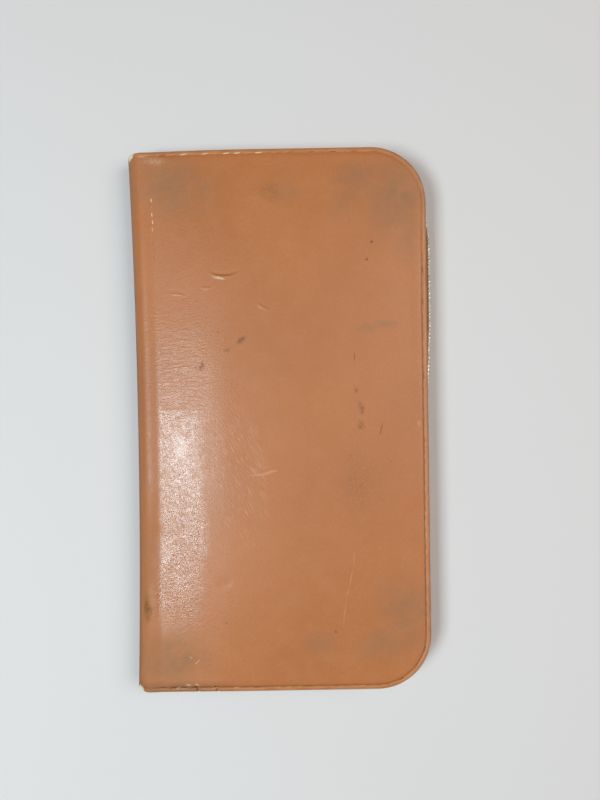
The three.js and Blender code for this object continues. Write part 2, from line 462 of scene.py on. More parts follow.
SMUDGES = MarkKind(
    marks=(
        Mark(-51.0, 115.0, 30, 23, -20, 0.9),
        Mark(-58.0, 124.0, 17, 9, 0, 0.8),
        Mark(56.0, 108.0, 22, 27, 0, 1.0),
        Mark(40.0, 118.0, 22, 11, -6, 0.8),
        Mark(62.5, 88.0, 10, 18, 0, 0.7),
        Mark(30.0, 103.0, 9, 12, 0, 0.5),
        Mark(52.0, 46.6, 8.5, 3.4, 3, 1.0),
        Mark(52.5, 46.2, 5.5, 2.8, 3, 1.0),
        Mark(42.0, 44.4, 8.0, 3.6, -8, 0.6),
        Mark(58.0, -96.0, 18, 30, 0, 0.8),
        Mark(48.0, -109.5, 19, 13, 20, 0.8),
        Mark(15.9, -109.8, 11, 8, 0, 0.6),
        Mark(-56.0, -117.0, 27, 21, 0, 1.0),
        Mark(3.7, 110.8, 12, 9, 0, 0.45),
        Mark(35.0, 108.5, 9, 8, 0, 0.5),
    ),
    soft=0.95,
    lumps=90,
    reach=4.0,
)
DARK_LINES = MarkKind(
    marks=(
        Mark(35.3, 31.0, 0.35, 3.0, 0, 0.7),
        Mark(47.9, -4.4, 0.4, 4.4, -11, 0.7),
        # Painted shadow in the hollow above the main crease
        Mark(-27.6, 71.3, 4.6, 0.55, -3, 0.45),
    ),
    soft=0.6,
    lumps=500,
    reach=0.4,
)
LIGHT_LINES = MarkKind(
    marks=(
        Mark(33.7, -67.5, 0.5, 5.2, -5, 0.45),
        Mark(32.0, -77.2, 0.5, 6.0, -12, 0.6),
        Mark(30.3, -84.3, 0.5, 2.4, -18, 0.6),
        Mark(28.7, -94.2, 0.5, 10, -8, 0.4),
        # Painted glints on the lips of the creases
        Mark(-29.6, 69.9, 4.0, 0.6, -9, 0.9),
        Mark(-10.2, 55.4, 2.2, 0.4, -27, 0.7),
        Mark(-36.4, 64.3, 1.8, 0.45, -6, 1.0),
        Mark(-50.5, 62.2, 3.8, 0.45, -10, 1.0),
        Mark(-6.0, -24.2, 4.5, 0.8, 8, 1.0),
        Mark(-11.0, -25.5, 7.0, 0.9, 5, 0.8),
        Mark(-21.4, -19.0, 3.6, 0.3, -52, 0.5),
    ),
    soft=0.7,
    lumps=300,
    reach=0.4,
)
SCUFFS_AND_GLINT = MarkKind(
    marks=(
        Mark(-60.5, 127.6, 8.0, 2.4, 0, 0.4),
        # Painted glint on the lip under the main crease
        Mark(-29.4, 69.8, 3.0, 0.7, -9, 1.2),
        Mark(-66.0, 130.0, 4.5, 1.2, 0, 0.4),
        Mark(-43.9, -117.4, 2.3, 0.4, 44, 1.0),
        Mark(-47.2, -115.2, 1.5, 0.35, -40, 0.7),
        Mark(-48.7, -128.9, 2.2, 0.8, -12, 0.75),
        Mark(-44.5, -128.9, 1.5, 0.8, 0, 0.75),
        Mark(-54.0, -131.0, 5.0, 0.6, 0, 0.6),
        Mark(66.5, -2.2, 1.0, 2.5, 0, 0.35),
    ),
    soft=0.9,
    lumps=700,
    reach=0.9,
)
GLAZE = MarkKind(
    marks=(
        Mark(-50.5, -11.5, 8.0, 12.5, 10, 1.0),
        Mark(-58.5, -64.0, 5.0, 12.0, 0, 0.6),
        Mark(-51.5, -77.0, 4.5, 6.0, 20, 0.5),
        Mark(-61.5, -97.0, 3.5, 11.0, 8, 0.6),
    ),
    soft=0.9,
    lumps=160,
    reach=3.0,
)
RIM_CRACKS = MarkKind(
    marks=(
        Mark(-44.6, -131.0, 0.4, 2.3, 22, 0.6),
        Mark(-34.9, -131.0, 0.4, 2.3, 22, 0.5),
    ),
    soft=0.6,
)
TICK_ZONE = MarkKind(marks=(Mark(-22, -28, 22, 48),), soft=0.7)
CREASES = (
    Crease(-27.3, 70.4, 13.5, 1.7, 0, 0.1, 0.42, 0.95),
    Crease(-8.3, 55.2, 7.0, 0.5, -27, 0.05, 0.22, 0.75),
    Crease(-36.1, 65.2, 5.0, 0.2, -6, 0.03, 0.13, 0.65),
    Crease(-50.5, 62.5, 8.0, 0.3, -10, 0.03, 0.1, 0.65),
    Crease(-28.2, -81.3, 9.0, 1.2, 20, 0.16, 0.05, 2.2),
)


@dataclass(frozen=True)
class CaseForm:
    """The closed case's plan and heights, which every piece of it follows.

    Plan points are measured from the line of the spine's ends and from the middle, before wear.
    """

    low: Vector
    high: Vector
    edge_depth: float = 16.6 * MM
    crown: float = 3.6 * MM
    spine_line: float = 10.6 * MM
    crown_line: float = 48 * MM
    crown_foot: float = 11.5 * MM
    crown_start: float = 0.08
    corner_radius: float = 27 * MM
    spine_bow: float = 2.3 * MM
    upper_slump: float = 1 * MM
    slump_reach: float = 60 * MM

    @property
    def width(self) -> float:
        """From the line of the spine's ends to the open edge."""
        return self.high.x - self.low.x

    @property
    def half_length(self) -> float:
        """Half the length of the spine."""
        return (self.high.y - self.low.y) / 2

    @property
    def spine_radius(self) -> float:
        """Upright radius of the rounded spine, which is also the height of its middle."""
        return self.edge_depth / 2

    @property
    def half_arc(self) -> float:
        """Half of the leather's way round the spine."""
        return math.pi * self.spine_radius / 2

    def settle(self, x: float, y: float, z: float) -> Vector:
        """Moves a plan point to where wear has left it.

        Args:
            x: From the line of the spine's ends.
            y: From the middle of the case.
            z: Height above the surface that it lies on.

        Returns:
            The point in the case's frame.
        """
        run = y / self.half_length
        bow = self.spine_bow * (1 - run * run) * (1 - x / self.width)
        near_spine = max(0.0, 1 - x / self.slump_reach)
        slump = self.upper_slump * max(0.0, run) ** 2 * near_spine**2
        return Vector((self.low.x + x + bow, y - slump, z))

    def crown_rise(self, x: float, y: float) -> float:
        """Rise of the front panel above the plane of its edges.

        Args:
            x: From the line of the spine's ends.
            y: From the middle of the case.

        Returns:
            The rise in metres.
        """
        if x < self.crown_line:
            share = max(0.0, x - self.crown_foot) / (self.crown_line - self.crown_foot)
            across = math.sin(math.pi / 2 * share) * ease(share, 0, self.crown_start)
        else:
            across = 1 - ((x - self.crown_line) / (self.width - self.crown_line)) ** 2
        return self.crown * across * (1 - (y / self.half_length) ** 4)


class EdgeLine:
    """The panels' folded edge, from the top of the spine line round the open side to its foot."""

    def __init__(self, form: CaseForm) -> None:
        """Works out the lengths of the stretches.

        Args:
            form: The case's form.
        """
        self.form = form
        self.short = form.width - form.corner_radius - form.spine_line
        self.long = 2 * (form.half_length - form.corner_radius)
        self.arc = math.pi / 2 * form.corner_radius

    @property
    def length(self) -> float:
        """Length of the whole edge."""
        return 2 * self.short + self.long + 2 * self.arc

    def plan(self, along: float) -> tuple[Vector, Vector]:
        """A point of the edge in plan, and the way out of the case there.

        Args:
            along: Distance from the top of the spine line.

        Returns:
            The point and the outward direction.
        """
        form = self.form
        corner_x = form.width - form.corner_radius
        corner_y = form.half_length - form.corner_radius
        if along <= self.short:
            return Vector((form.spine_line + along, form.half_length)), Vector((0, 1))
        along -= self.short
        if along <= self.arc:
            return self._round(Vector((corner_x, corner_y)), math.pi / 2 - along / form.corner_radius)
        along -= self.arc
        if along <= self.long:
            return Vector((form.width, corner_y - along)), Vector((1, 0))
        along -= self.long
        if along <= self.arc:
            return self._round(Vector((corner_x, -corner_y)), -along / form.corner_radius)
        along -= self.arc
        return Vector((corner_x - along, -form.half_length)), Vector((0, -1))

    def _round(self, middle: Vector, angle: float) -> tuple[Vector, Vector]:
        """A point of a rounded corner, and the way out there.

        Args:
            middle: The middle of the rounding.
            angle: The way out, as an angle from X in radians.

        Returns:
            The point and the outward direction.
        """
        outward = Vector((math.cos(angle), math.sin(angle)))
        return middle + outward * self.form.corner_radius, outward

    def point(self, along: float, out: float, height: float) -> Vector:
        """A point beside the edge, in the case's frame.

        Args:
            along: Distance from the top of the spine line.
            out: Distance out of the case from the edge.
            height: Height above the surface that the case lies on.

        Returns:
            The settled point.
        """
        at, outward = self.plan(along)
        place = at + outward * out
        return self.form.settle(place.x, place.y, height)

    def frame(self, along: float, out: float, height: float, nudge: float = 0.2 * MM) -> Matrix:
        """A frame beside the edge: X along it, Y out of the case, Z up.

        Args:
            along: Distance from the top of the spine line.
            out: Distance out of the case from the edge.
            height: Height above the surface that the case lies on.
            nudge: Half the step that gives the direction along the edge.

        Returns:
            The frame's matrix.
        """
        origin = self.point(along, out, height)
        ahead = self.point(along + nudge, out, height) - self.point(along - nudge, out, height)
        forward = ahead.normalized()
        up = Vector((0, 0, 1))
        return Matrix.Translation(origin) @ Matrix((forward, up.cross(forward), up)).transposed().to_4x4()


@dataclass(frozen=True)
class ChainRow:
    """How far the zip's chain stands out from the edge at a distance along it, in millimetres."""

    along: float
    stand: float


CHAIN_RUN = (
    ChainRow(0, -4.2),
    ChainRow(32, -4.2),
    ChainRow(60, -1.2),
    ChainRow(151, -1.2),
    ChainRow(159, 0.7),
    ChainRow(168, 1.9),
    ChainRow(206, 1.9),
    ChainRow(226, 1.3),
    ChainRow(239, 0.5),
    ChainRow(251, -1.2),
    ChainRow(448, -1.2),
    ChainRow(476, -4.2),
    ChainRow(520, -4.2),
)


def chain_stand(along: float) -> float:
    """How far the chain's middle stands out from the edge.

    Args:
        along: Distance from the top of the spine line.

    Returns:
        The stand in metres, eased between the rows of the table.
    """
    here = along / MM
    for before, after in zip(CHAIN_RUN, CHAIN_RUN[1:]):
        if here <= after.along:
            share = ease(here, before.along, after.along)
            return (before.stand + (after.stand - before.stand) * share) * MM
    return CHAIN_RUN[-1].stand * MM


def mesh_of(name: str, shape: bmesh.types.BMesh, sharp: float | None = None) -> bpy.types.Mesh:
    """Turns a bmesh into a smooth mesh and frees it.

    Args:
        name: The mesh's name.
        shape: The bmesh.
        sharp: Angle in degrees past which an edge stays sharp.

    Returns:
        The mesh.
    """
    mesh = bpy.data.meshes.new(name)
    shape.to_mesh(mesh)
    shape.free()
    mesh.shade_smooth()
    if sharp is not None:
        mesh.set_sharp_from_angle(angle=math.radians(sharp))
    return mesh


def add_piece(name: str, mesh: bpy.types.Mesh, material: bpy.types.Material, slot: Slot,
              stands_for: Iterable[str] = ()) -> bpy.types.Object:
    """Adds a finished piece of the case.

    Args:
        name: The piece's name.
        mesh: Its mesh, in the case's frame.
        material: Its material.
        slot: The material slot of the piece; not used.
        stands_for: The nodes that it is shown in place of.

    Returns:
        The piece's object.
    """
    piece = bpy.data.objects.new(name, mesh)
    bpy.context.scene.collection.objects.link(piece)
    mesh.materials.append(material)
    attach(piece, BODY)
    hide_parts(*stands_for)
    LOG.info("%s: %d faces", name, len(mesh.polygons))
    return piece


def stamp(pattern: bpy.types.Mesh, places: Iterable[Matrix]) -> bmesh.types.BMesh:
    """Repeats a small mesh at many places.

    Args:
        pattern: The mesh to repeat, which is removed afterwards.
        places: The frames that it is put in.

    Returns:
        All the copies in one bmesh, in order.
    """
    shape = bmesh.new()
    for place in places:
        copy = pattern.copy()
        copy.transform(place)
        shape.from_mesh(copy)
        bpy.data.meshes.remove(copy)
    bpy.data.meshes.remove(pattern)
    return shape


def picked(items: Iterable[object], kind: type) -> list:
    """The items of one kind, from what an operator has made."""
    return [item for item in items if isinstance(item, kind)]


def round_edges(shape: bmesh.types.BMesh, edges: list[bmesh.types.BMEdge], width: float, steps: int = 2,
                clamp: bool = False) -> list[bmesh.types.BMVert]:
    """Rounds edges off.

    Args:
        shape: The bmesh.
        edges: The edges.
        width: Width of the rounding.
        steps: Faces across the rounding.
        clamp: Whether roundings stop where they meet.

    Returns:
        The vertices of the rounding.
    """
    made = bmesh.ops.bevel(
        shape, geom=edges, offset=width, offset_type="OFFSET", segments=steps, profile=0.5,
        affect="EDGES", material=-1, clamp_overlap=clamp,
    )
    return made["verts"]


class LeatherFinish:
    """Tan leather with a fine grain, satin and showing wear, with the marks that use has left, and painted
    shade and glints in its colour.
    """

    TAN: Colour = (0.475, 0.154, 0.042)
    DEEP: Colour = (0.41, 0.124, 0.032)
    # Pale rubbed tan; also the painted highlight on the rim and the painted glints on scratches and creases
    RUBBED_AND_HIGHLIGHT: Colour = (0.6, 0.27, 0.115)
    # Dark stain colour; also the painted shadow above the main crease
    GRIME: Colour = (0.25, 0.129, 0.055)
    STAIN_AND_SHADOW: Colour = (0.1, 0.042, 0.008)
    # Dark brown used as painted shade in the stitch groove and under the folded edge
    SHADE_BROWN: Colour = (0.17, 0.055, 0.018)
    SPECK: Colour = (0.16, 0.04, 0.01)
    # Darker brown of handled leather; also the painted shade on the spine's flank and beside the spine
    HANDLED_AND_SHADE: Colour = (0.245, 0.09, 0.028)
    # Pale core of rubbed-through leather; also the painted glint under the main crease
    CORE_AND_GLINT: Colour = (0.78, 0.66, 0.48)
    SATIN: float = 0.4
    SPECULAR: float = 0.55
    RELIEF: float = 0.16 * MM

    # Random patterns, and the pebbles of the grain to a metre
    BROAD: Lumps = Lumps(28)
    CLOUD: Lumps = Lumps(110, 4)
    FINE: Lumps = Lumps(900, 3, 0.7)
    CRUMBS: Lumps = Lumps(1100)
    PATCHES: Lumps = Lumps(150, 6, 0.65)
    RIM_WAVE: Lumps = Lumps(240, 2)
    GROOVE_PATCHES: Lumps = Lumps(170)
    BUFFING: Lumps = Lumps(330, 5, 0.7)
    PORES: Lumps = Lumps(1000, 2, 0.6)
    POLISH_EDGE: Lumps = Lumps(130, 4)
    SMEARING: Lumps = Lumps(600)
    TICKS: Lumps = Lumps(1, 2)
    PEBBLES: float = 1250.0

    # The values of a random pattern at which none and all of it shows
    DEEP_CLOUDS: Span = (0.35, 0.7)
    PALE_CLOUDS: Span = (0.3, 0.85)
    DULL_CLOUDS: Span = (0.3, 0.8)
    RIM_CLOUDS: Span = (0.3, 0.6)
    DEEP_GRAIN: Span = (0.48, 0.7)
    PALE_GRAIN: Span = (0.46, 0.28)
    POLISHED_GRAIN: Span = (0.6, 0.36)
    SCUFF_GLINT_GRAIN: Span = (0.3, 0.6)
    CRUMBLED: Span = (0.38, 0.55)
    PATCHED: Span = (0.1, 0.74)
    GROOVE_PATCHED: Span = (0.26, 0.6)
    BUFFED: Span = (0.38, 0.62)
    SMEARED: Span = (0.1, 0.6)
    TICKED: Span = (0.56, 0.66)
    PEBBLED: Span = (0.0, 0.3)

    # Lumps to a metre of a ragged outline and its reach in millimetres, and the octaves of them all
    CORNER_RAG: tuple[float, float] = (900, 1.4)
    SMEAR_RAG: tuple[float, float] = (230, 2)
    PEBBLE_RAG: tuple[float, float] = (500, 0.5)
    WRINKLE_RAG: tuple[float, float] = (220, 1.2)
    RAG_OCTAVES: float = 3.0

    # Distances in from the folded edge, in millimetres, as the mesh carries them
    GROOVE_OUTSIDE: Span = (2.1, 2.5)
    GROOVE_INSIDE: Span = (3.1, 2.7)
    GROOVE_WAVE: float = 0.8
    RIM_OUTSIDE: Span = (-0.4, 0.6)
    RIM_INSIDE: Span = (2.3, 1.4)
    UNDERSIDE: Span = (0.4, -0.9)

    # Where a finish starts and ends along the case's axes
    FRONT: Fade = Fade(12, 14)
    POLISH_LEFT: Fade = Fade(-65, -58)
    POLISH_RIGHT: Fade = Fade(-33, -42)
    POLISH_TOP: Fade = Fade(7, 5.8)
    POLISH_FOOT: Fade = Fade(-114, -82)
    POLISH_LEAN: Fade = Fade(-45, -105)
    SHEEN_RIGHT: Fade = Fade(5, -35)
    SHEEN_TOP: Fade = Fade(62, 30)
    SHEEN_FOOT: Fade = Fade(-60, -20)
    FLANK_RIGHT: Fade = Fade(-58, -62)
    FLANK_TOP: Fade = Fade(15.4, 12)
    FLANK_FOOT: Fade = Fade(0.5, 3)
    SPINE_RIGHT: Fade = Fade(-60, -62.5)
    SPINE_TOP: Fade = Fade(60, 10)
    SPINE_FOOT: Fade = Fade(-118, -80)
    FOOT_RIGHT: Fade = Fade(-10, -50)
    FOOT_TOP: Fade = Fade(-126, -129.5)
    LOW_END_RIGHT: Fade = Fade(-30, -48)
    LOW_END_TOP: Fade = Fade(-98, -112)
    GROOVE_TOP: Fade = Fade(105, 80)
    BY_SPINE: Fade = Fade(0, -45)
    CALM_FOOT: Fade = Fade(-48, -18)
    DEEPER_FOOT: Fade = Fade(2, 12)
    UPPER_WRINKLES: WrinkleField = WrinkleField(
        (5, 1.05, 4), 3, 2, across=Fade(-22, -48), top=Fade(72, 48), foot=Fade(-60, -20)
    )
    LOWER_WRINKLES: WrinkleField = WrinkleField(
        (2.1, 0.95, 4), 34, 3, across=Fade(-30, -48), top=Fade(-20, -60), foot=Fade(-122, -100)
    )

    # Shapes and places of single finishes
    POLISH_SHIFT: float = 5 * MM
    POLISH_RAG: float = 7 * MM
    SHEEN: float = 0.48
    CORNER_X: float = 1.9 * MM
    CORNER_IN: float = 0.2 * MM
    CORNER_RISE: float = 5.3 * MM
    CORNER_RADII: tuple[float, float] = (3.4 * MM, 3.2 * MM)
    CORNER_SOFT: float = 0.3
    SMEAR_X: float = 5.4 * MM
    SMEAR_Y: float = -91 * MM
    SMEAR_RISE: float = 7.8 * MM
    SMEAR_RADIUS: float = 3.4 * MM
    SMEAR_SOFT: float = 0.9
    SMEAR_STRETCH: float = 2.6
    SMEAR_STRENGTH: float = 0.75
    FLANK_SHADE: float = 0.85
    SPINE_SHADE: float = 0.25
    LINE_SHADE: float = 0.75
    TICK_SHADE: float = 0.7
    # How strongly the stitch groove is painted with shade: a little at the top, more further down
    GROOVE_SHADE_LEAST: float = 0.08
    GROOVE_SHADE_MORE: float = 0.6
    GROOVE_PATCH_LEAST: float = 0.4
    TICK_LENGTHS: tuple[float, float, float] = (0.42 * MM, 7.5 * MM, 1)
    TICK_TURN: float = 32

    # Heights, in shares of the relief, and the shares of a height that stay or go
    PEBBLE_HEIGHT: float = 0.18
    PORE_HEIGHT: float = 0.4
    PLAIN_GRAIN: float = 0.5
    SPINE_GRAIN: float = 0.6
    GLAZE_CALM: float = 0.55
    POLISH_CALM: float = 0.3
    WRINKLE_HEIGHT: float = 0.62
    WRINKLE_GAIN: float = 0.42
    WRINKLE_GLAZE: float = 0.4
    TICK_HEIGHT: float = 0.15
    LINE_HEIGHT: float = 0.3
    SPECK_DEPTH: float = 0.2
    CRACK_DEPTH: float = 3

    def __init__(self, form: CaseForm) -> None:
        """Starts the material, with the masks that its colour, gloss and relief share.

        Args:
            form: The case's form, which places the worn corners.
        """
        self.form = form
        self.bench = Bench("worn_tan_leather")
        self.place = self.bench.place()
        self.across, self.along, self.up = self.bench.split(self.place)
        self.front = self.FRONT.of(self.up)
        self.inset = self.bench.attribute("rim_inset")
        self.cloud = self.bench.grain(self.place, self.CLOUD)
        self.fine = self.bench.grain(self.place, self.FINE)
        self.polish = self.polished() * self.front
        self.glaze = self.spots(GLAZE) * self.front
        self.groove = self.sewn_groove()
        self.spine = self.SPINE_RIGHT.of(self.across) * self.SPINE_TOP.of(self.along) * (1 - self.polish)
        self.specks = self.spots(SPECKS)
        self.smudges = self.spots(SMUDGES) * self.shown(self.PATCHES, self.PATCHED) * self.front
        self.light_lines = self.spots(LIGHT_LINES) * self.front
        self.ticks = self.scratches()
        self.cracks = self.spots(RIM_CRACKS)
        self.dark = self.dark_marks()
        self.corners = self.worn_corners()

    def shown(self, lumps: Lumps, share: Span) -> Wire:
        """The part of a random pattern that shows on the leather.

        Args:
            lumps: The pattern.
            share: The values of the pattern at which none and all of it shows.

        Returns:
            A mask from 0 to 1.
        """
        return self.bench.grain(self.place, lumps).step(*share)

    def spots(self, kind: MarkKind) -> Wire:
        """A mask of all the marks of one kind, seen from above.

        Args:
            kind: The marks.

        Returns:
            The largest of the marks' masks.
        """
        place = self.ragged(kind.lumps, kind.reach) if kind.reach else self.place
        total: Wire | float = 0.0
        for mark in kind.marks:
            size = (mark.half_x * MM, mark.half_y * MM, 1)
            local = self.bench.stretched(place, size, mark.turn, (mark.x * MM, mark.y * MM, 0))
            away = self.bench.vectors("LENGTH", {0: local}, "Value")
            total = away.step(1, 1 - kind.soft) * mark.strength | total
        return total

    def ragged(self, lumps: float, reach: float) -> Wire:
        """The surface point shifted at random, so that a mark's outline is uneven.

        Args:
            lumps: Lumps of the shift to a metre.
            reach: Largest shift in millimetres.

        Returns:
            The shifted point.
        """
        bench = self.bench
        inputs = {"Vector": self.place, "Scale": lumps, "Detail": self.RAG_OCTAVES}
        drift = bench.node("ShaderNodeTexNoise", {}, inputs, "Color")
        either_way = bench.vectors("SUBTRACT", {0: drift, 1: (NOISE_MIDDLE,) * 3})
        shift = bench.vectors("SCALE", {0: either_way, "Scale": 2 * reach * MM})
        return bench.vectors("ADD", {0: self.place, 1: shift})

    def near(self, point: Vector, radius: float, place: Wire, soft: float) -> Wire:
        """A mask of what lies near a point.

        Args:
            point: The point.
            radius: Where the mask has faded out.
            place: The surface point, perhaps shifted or stretched.
            soft: Share of the radius over which the mask fades.

        Returns:
            The mask, which is 1 at the point.
        """
        away = self.bench.vectors("DISTANCE", {0: place, 1: point}, "Value")
        return away.step(radius, radius * (1 - soft))

    def worn_corners(self) -> Wire:
        """A mask of the two ends of the spine, rubbed through to the pale core.

        Returns:
            The mask, with ragged outlines.
        """
        form = self.form
        place = self.ragged(*self.CORNER_RAG)
        total: Wire | float = 0.0
        for end, radius in zip((1, -1), self.CORNER_RADII):
            y = end * (form.half_length - self.CORNER_IN)
            point = form.settle(self.CORNER_X, y, form.spine_radius + self.CORNER_RISE)
            total = self.near(point, radius, place, self.CORNER_SOFT) | total
        return total

    def spine_smear(self) -> Wire:
        """A mask of the dark smear low on the spine.

        Returns:
            The mask, longer along the spine than it is wide.
        """
        form = self.form
        at = form.settle(self.SMEAR_X, self.SMEAR_Y, form.spine_radius + self.SMEAR_RISE)
        at.y /= self.SMEAR_STRETCH
        place = self.bench.stretched(self.ragged(*self.SMEAR_RAG), (1, self.SMEAR_STRETCH, 1))
        patchy = self.shown(self.SMEARING, self.SMEARED)
        return self.near(at, self.SMEAR_RADIUS, place, self.SMEAR_SOFT) * patchy

    def dark_marks(self) -> Wire:
        """A mask of the front's flecks, dark scratches and cracks, a painted shadow above the main crease,
        and the smear on the spine.

        Returns:
            The largest of the masks.
        """
        flecks = self.spots(FLECKS) * self.shown(self.CRUMBS, self.CRUMBLED)
        marks = flecks | self.spots(DARK_LINES) | self.cracks
        return marks * self.front | self.spine_smear() * self.SMEAR_STRENGTH

    def scratches(self) -> Wire:
        """A mask of the fine slanting scratches in the middle of the front panel, which the colour also
        paints pale as glints.

        Returns:
            The mask.
        """
        tick_map = self.bench.stretched(self.place, self.TICK_LENGTHS, self.TICK_TURN)
        ticks = self.bench.grain(tick_map, self.TICKS).step(*self.TICKED)
        return ticks * self.spots(TICK_ZONE) * self.front

    def sewn_groove(self) -> Wire:
        """A mask of the groove that the edge's stitches lie in.

        Returns:
            The mask, a little wavy.
        """
        wave = (self.bench.grain(self.place, self.RIM_WAVE) - NOISE_MIDDLE) * self.GROOVE_WAVE
        wavy = self.inset + wave
        return wavy.step(*self.GROOVE_INSIDE) * wavy.step(*self.GROOVE_OUTSIDE)

    def polished(self) -> Wire:
        """A mask of the stretch beside the spine that handling has polished.

        Returns:
            The mask, which ends sharply at the top and softly elsewhere, with a faint sheen above it.
        """
        across, along = self.across, self.along
        uneven = (self.bench.grain(self.place, self.POLISH_EDGE) - NOISE_MIDDLE) * self.POLISH_RAG
        leaning = across + self.POLISH_LEAN.of(along) * self.POLISH_SHIFT + uneven
        sides = self.POLISH_LEFT.of(leaning) * self.POLISH_RIGHT.of(leaning)
        ends = self.POLISH_TOP.of(along) * self.POLISH_FOOT.of(along)
        sheen = self.SHEEN_TOP.of(along) * self.SHEEN_FOOT.of(along) * self.SHEEN_RIGHT.of(across)
        return sides * ends | sheen * self.SHEEN

    def wrinkled(self, field: WrinkleField) -> Wire:
        """The heights of a stretch of fine wrinkles.

        Args:
            field: The wrinkles.

        Returns:
            The heights, which fade to 0 outside the stretch.
        """
        lengths = tuple(length * MM for length in field.lengths)
        wrinkle_map = self.bench.stretched(self.ragged(*self.WRINKLE_RAG), lengths, field.turn)
        zone = field.across.of(self.across) * field.top.of(self.along) * field.foot.of(self.along)
        return self.bench.grain(wrinkle_map, Lumps(1, field.octaves)) * zone

    def relief(self) -> Wire:
        """The leather's grain, fine wrinkles and marks.

        Returns:
            The height, where 1 is a deep wrinkle.
        """
        bench = self.bench
        inputs = {"Vector": self.ragged(*self.PEBBLE_RAG), "Scale": self.PEBBLES}
        edges = bench.node("ShaderNodeTexVoronoi", {"feature": "DISTANCE_TO_EDGE"}, inputs)
        pebbles = edges.step(*self.PEBBLED) * self.PEBBLE_HEIGHT
        grain = pebbles + bench.grain(self.place, self.PORES) * self.PORE_HEIGHT
        strength = self.PLAIN_GRAIN + self.BY_SPINE.of(self.across) * self.front * self.SPINE_GRAIN
        calm = self.glaze * self.GLAZE_CALM | self.polish * self.CALM_FOOT.of(self.along) * self.POLISH_CALM
        deeper = 1 + self.DEEPER_FOOT.of(self.along) * self.WRINKLE_GAIN
        wrinkles = self.wrinkled(self.UPPER_WRINKLES) * deeper + self.wrinkled(self.LOWER_WRINKLES)
        smoothed = self.front * (1 - self.glaze * self.WRINKLE_GLAZE)
        raised = self.ticks * self.TICK_HEIGHT + self.light_lines * self.LINE_HEIGHT
        sunk = self.specks * self.SPECK_DEPTH + self.cracks * self.CRACK_DEPTH
        return grain * strength * (1 - calm) + wrinkles * smoothed * self.WRINKLE_HEIGHT + raised - sunk

    def colour(self) -> Wire:
        """The leather's colour, from the dye to the marks of use, with painted shade, highlights and glints.

        Returns:
            The layers, mixed in order.
        """
        broad = self.shown(self.BROAD, self.DEEP_CLOUDS)
        flank = self.FLANK_RIGHT.of(self.across) * self.FLANK_TOP.of(self.up) * self.FLANK_FOOT.of(self.up)
        spine = self.spine * self.SPINE_FOOT.of(self.along)
        rim = self.inset.step(*self.RIM_INSIDE) * self.inset.step(*self.RIM_OUTSIDE)
        foot = self.FOOT_TOP.of(self.along) * self.FOOT_RIGHT.of(self.across) * self.front
        groove_patches = self.shown(self.GROOVE_PATCHES, self.GROOVE_PATCHED) * (1 - self.GROOVE_PATCH_LEAST) + self.GROOVE_PATCH_LEAST
        groove_shade = self.GROOVE_SHADE_LEAST + self.GROOVE_TOP.of(self.along) * self.GROOVE_SHADE_MORE
        scuffs_and_glint = self.spots(SCUFFS_AND_GLINT) * self.fine.step(*self.SCUFF_GLINT_GRAIN) * self.front
        # Pale scratches, painted with glints along the slanting ticks and on the crease lips
        scratch_glints = self.light_lines * self.LINE_SHADE | self.ticks * self.TICK_SHADE
        layers = (
            Layer(broad, 0.5, self.DEEP),
            Layer(self.cloud.step(*self.PALE_CLOUDS), 0.14, self.RUBBED_AND_HIGHLIGHT),
            Layer(self.fine.step(*self.DEEP_GRAIN), 0.34, self.DEEP),
            Layer(self.fine.step(*self.PALE_GRAIN), 0.16, self.RUBBED_AND_HIGHLIGHT),
            Layer(self.smudges, 0.72, self.GRIME),
            Layer(self.polish * self.fine.step(*self.POLISHED_GRAIN), 0.4, self.HANDLED_AND_SHADE),
            # Painted shade: the spine's flank, and the strip beside the spine above its foot, are darkened
            Layer(flank * self.FLANK_SHADE | spine * self.SPINE_SHADE, 1, self.HANDLED_AND_SHADE),
            # The rim is paler: partly rubbed wear, partly a painted highlight on the rounded edge
            Layer(rim * self.cloud.step(*self.RIM_CLOUDS), 0.35, self.RUBBED_AND_HIGHLIGHT),
            Layer(foot, 0.55, self.HANDLED_AND_SHADE),
            # Painted shade in the stitch groove, stronger below its top and patchy
            Layer(self.groove * groove_shade * groove_patches, 1, self.SHADE_BROWN),
            Layer(self.specks * self.front, 0.8, self.SPECK),
            # Painted shade on the underside of the folded edge
            Layer(self.inset.step(*self.UNDERSIDE), 0.85, self.SHADE_BROWN),
            Layer(scratch_glints, 1, self.RUBBED_AND_HIGHLIGHT),
            # Pale core where scuffed, and a painted glint under the main crease
            Layer(scuffs_and_glint, 0.6, self.CORE_AND_GLINT),
            # Stains and dark marks, with a painted shadow above the main crease
            Layer(self.dark, 0.74, self.STAIN_AND_SHADOW),
            Layer(self.corners, 1, self.CORE_AND_GLINT),
        )
        colour: Colour | Wire = self.TAN
        for layer in layers:
            colour = self.bench.mix(layer.mask * layer.strength, colour, layer.tint)
        return colour

    def roughness(self) -> Wire:
        """The leather's roughness: satin, dulled by dirt and wear and buffed where it is polished.

        Returns:
            The roughness.
        """
        low_end = self.LOW_END_TOP.of(self.along) * self.LOW_END_RIGHT.of(self.across) * self.front
        # Each row is a mask, and what it adds to the roughness where it is 1
        changes = (
            (self.cloud.step(*self.DULL_CLOUDS), 0.08),
            (self.smudges, 0.12),
            (self.dark, 0.42),
            (self.corners, 0.4),
            (self.groove, 0.1),
            (self.spine, 0.22),
            (low_end * (1 - self.spine), 0.14),
            (self.polish, -0.15),
            (self.polish * self.shown(self.BUFFING, self.BUFFED), -0.13),
            (self.polish * self.glaze, -0.06),
        )
        total: Wire | float = self.SATIN
        for mask, amount in changes:
            total = mask * amount + total
        return total

    def material(self) -> bpy.types.Material:
        """Builds the material.

        Returns:
            The finished leather.
        """
        constants = {"Specular IOR Level": self.SPECULAR}
        return self.bench.shade(self.colour(), self.roughness(), self.relief(), self.RELIEF, constants)


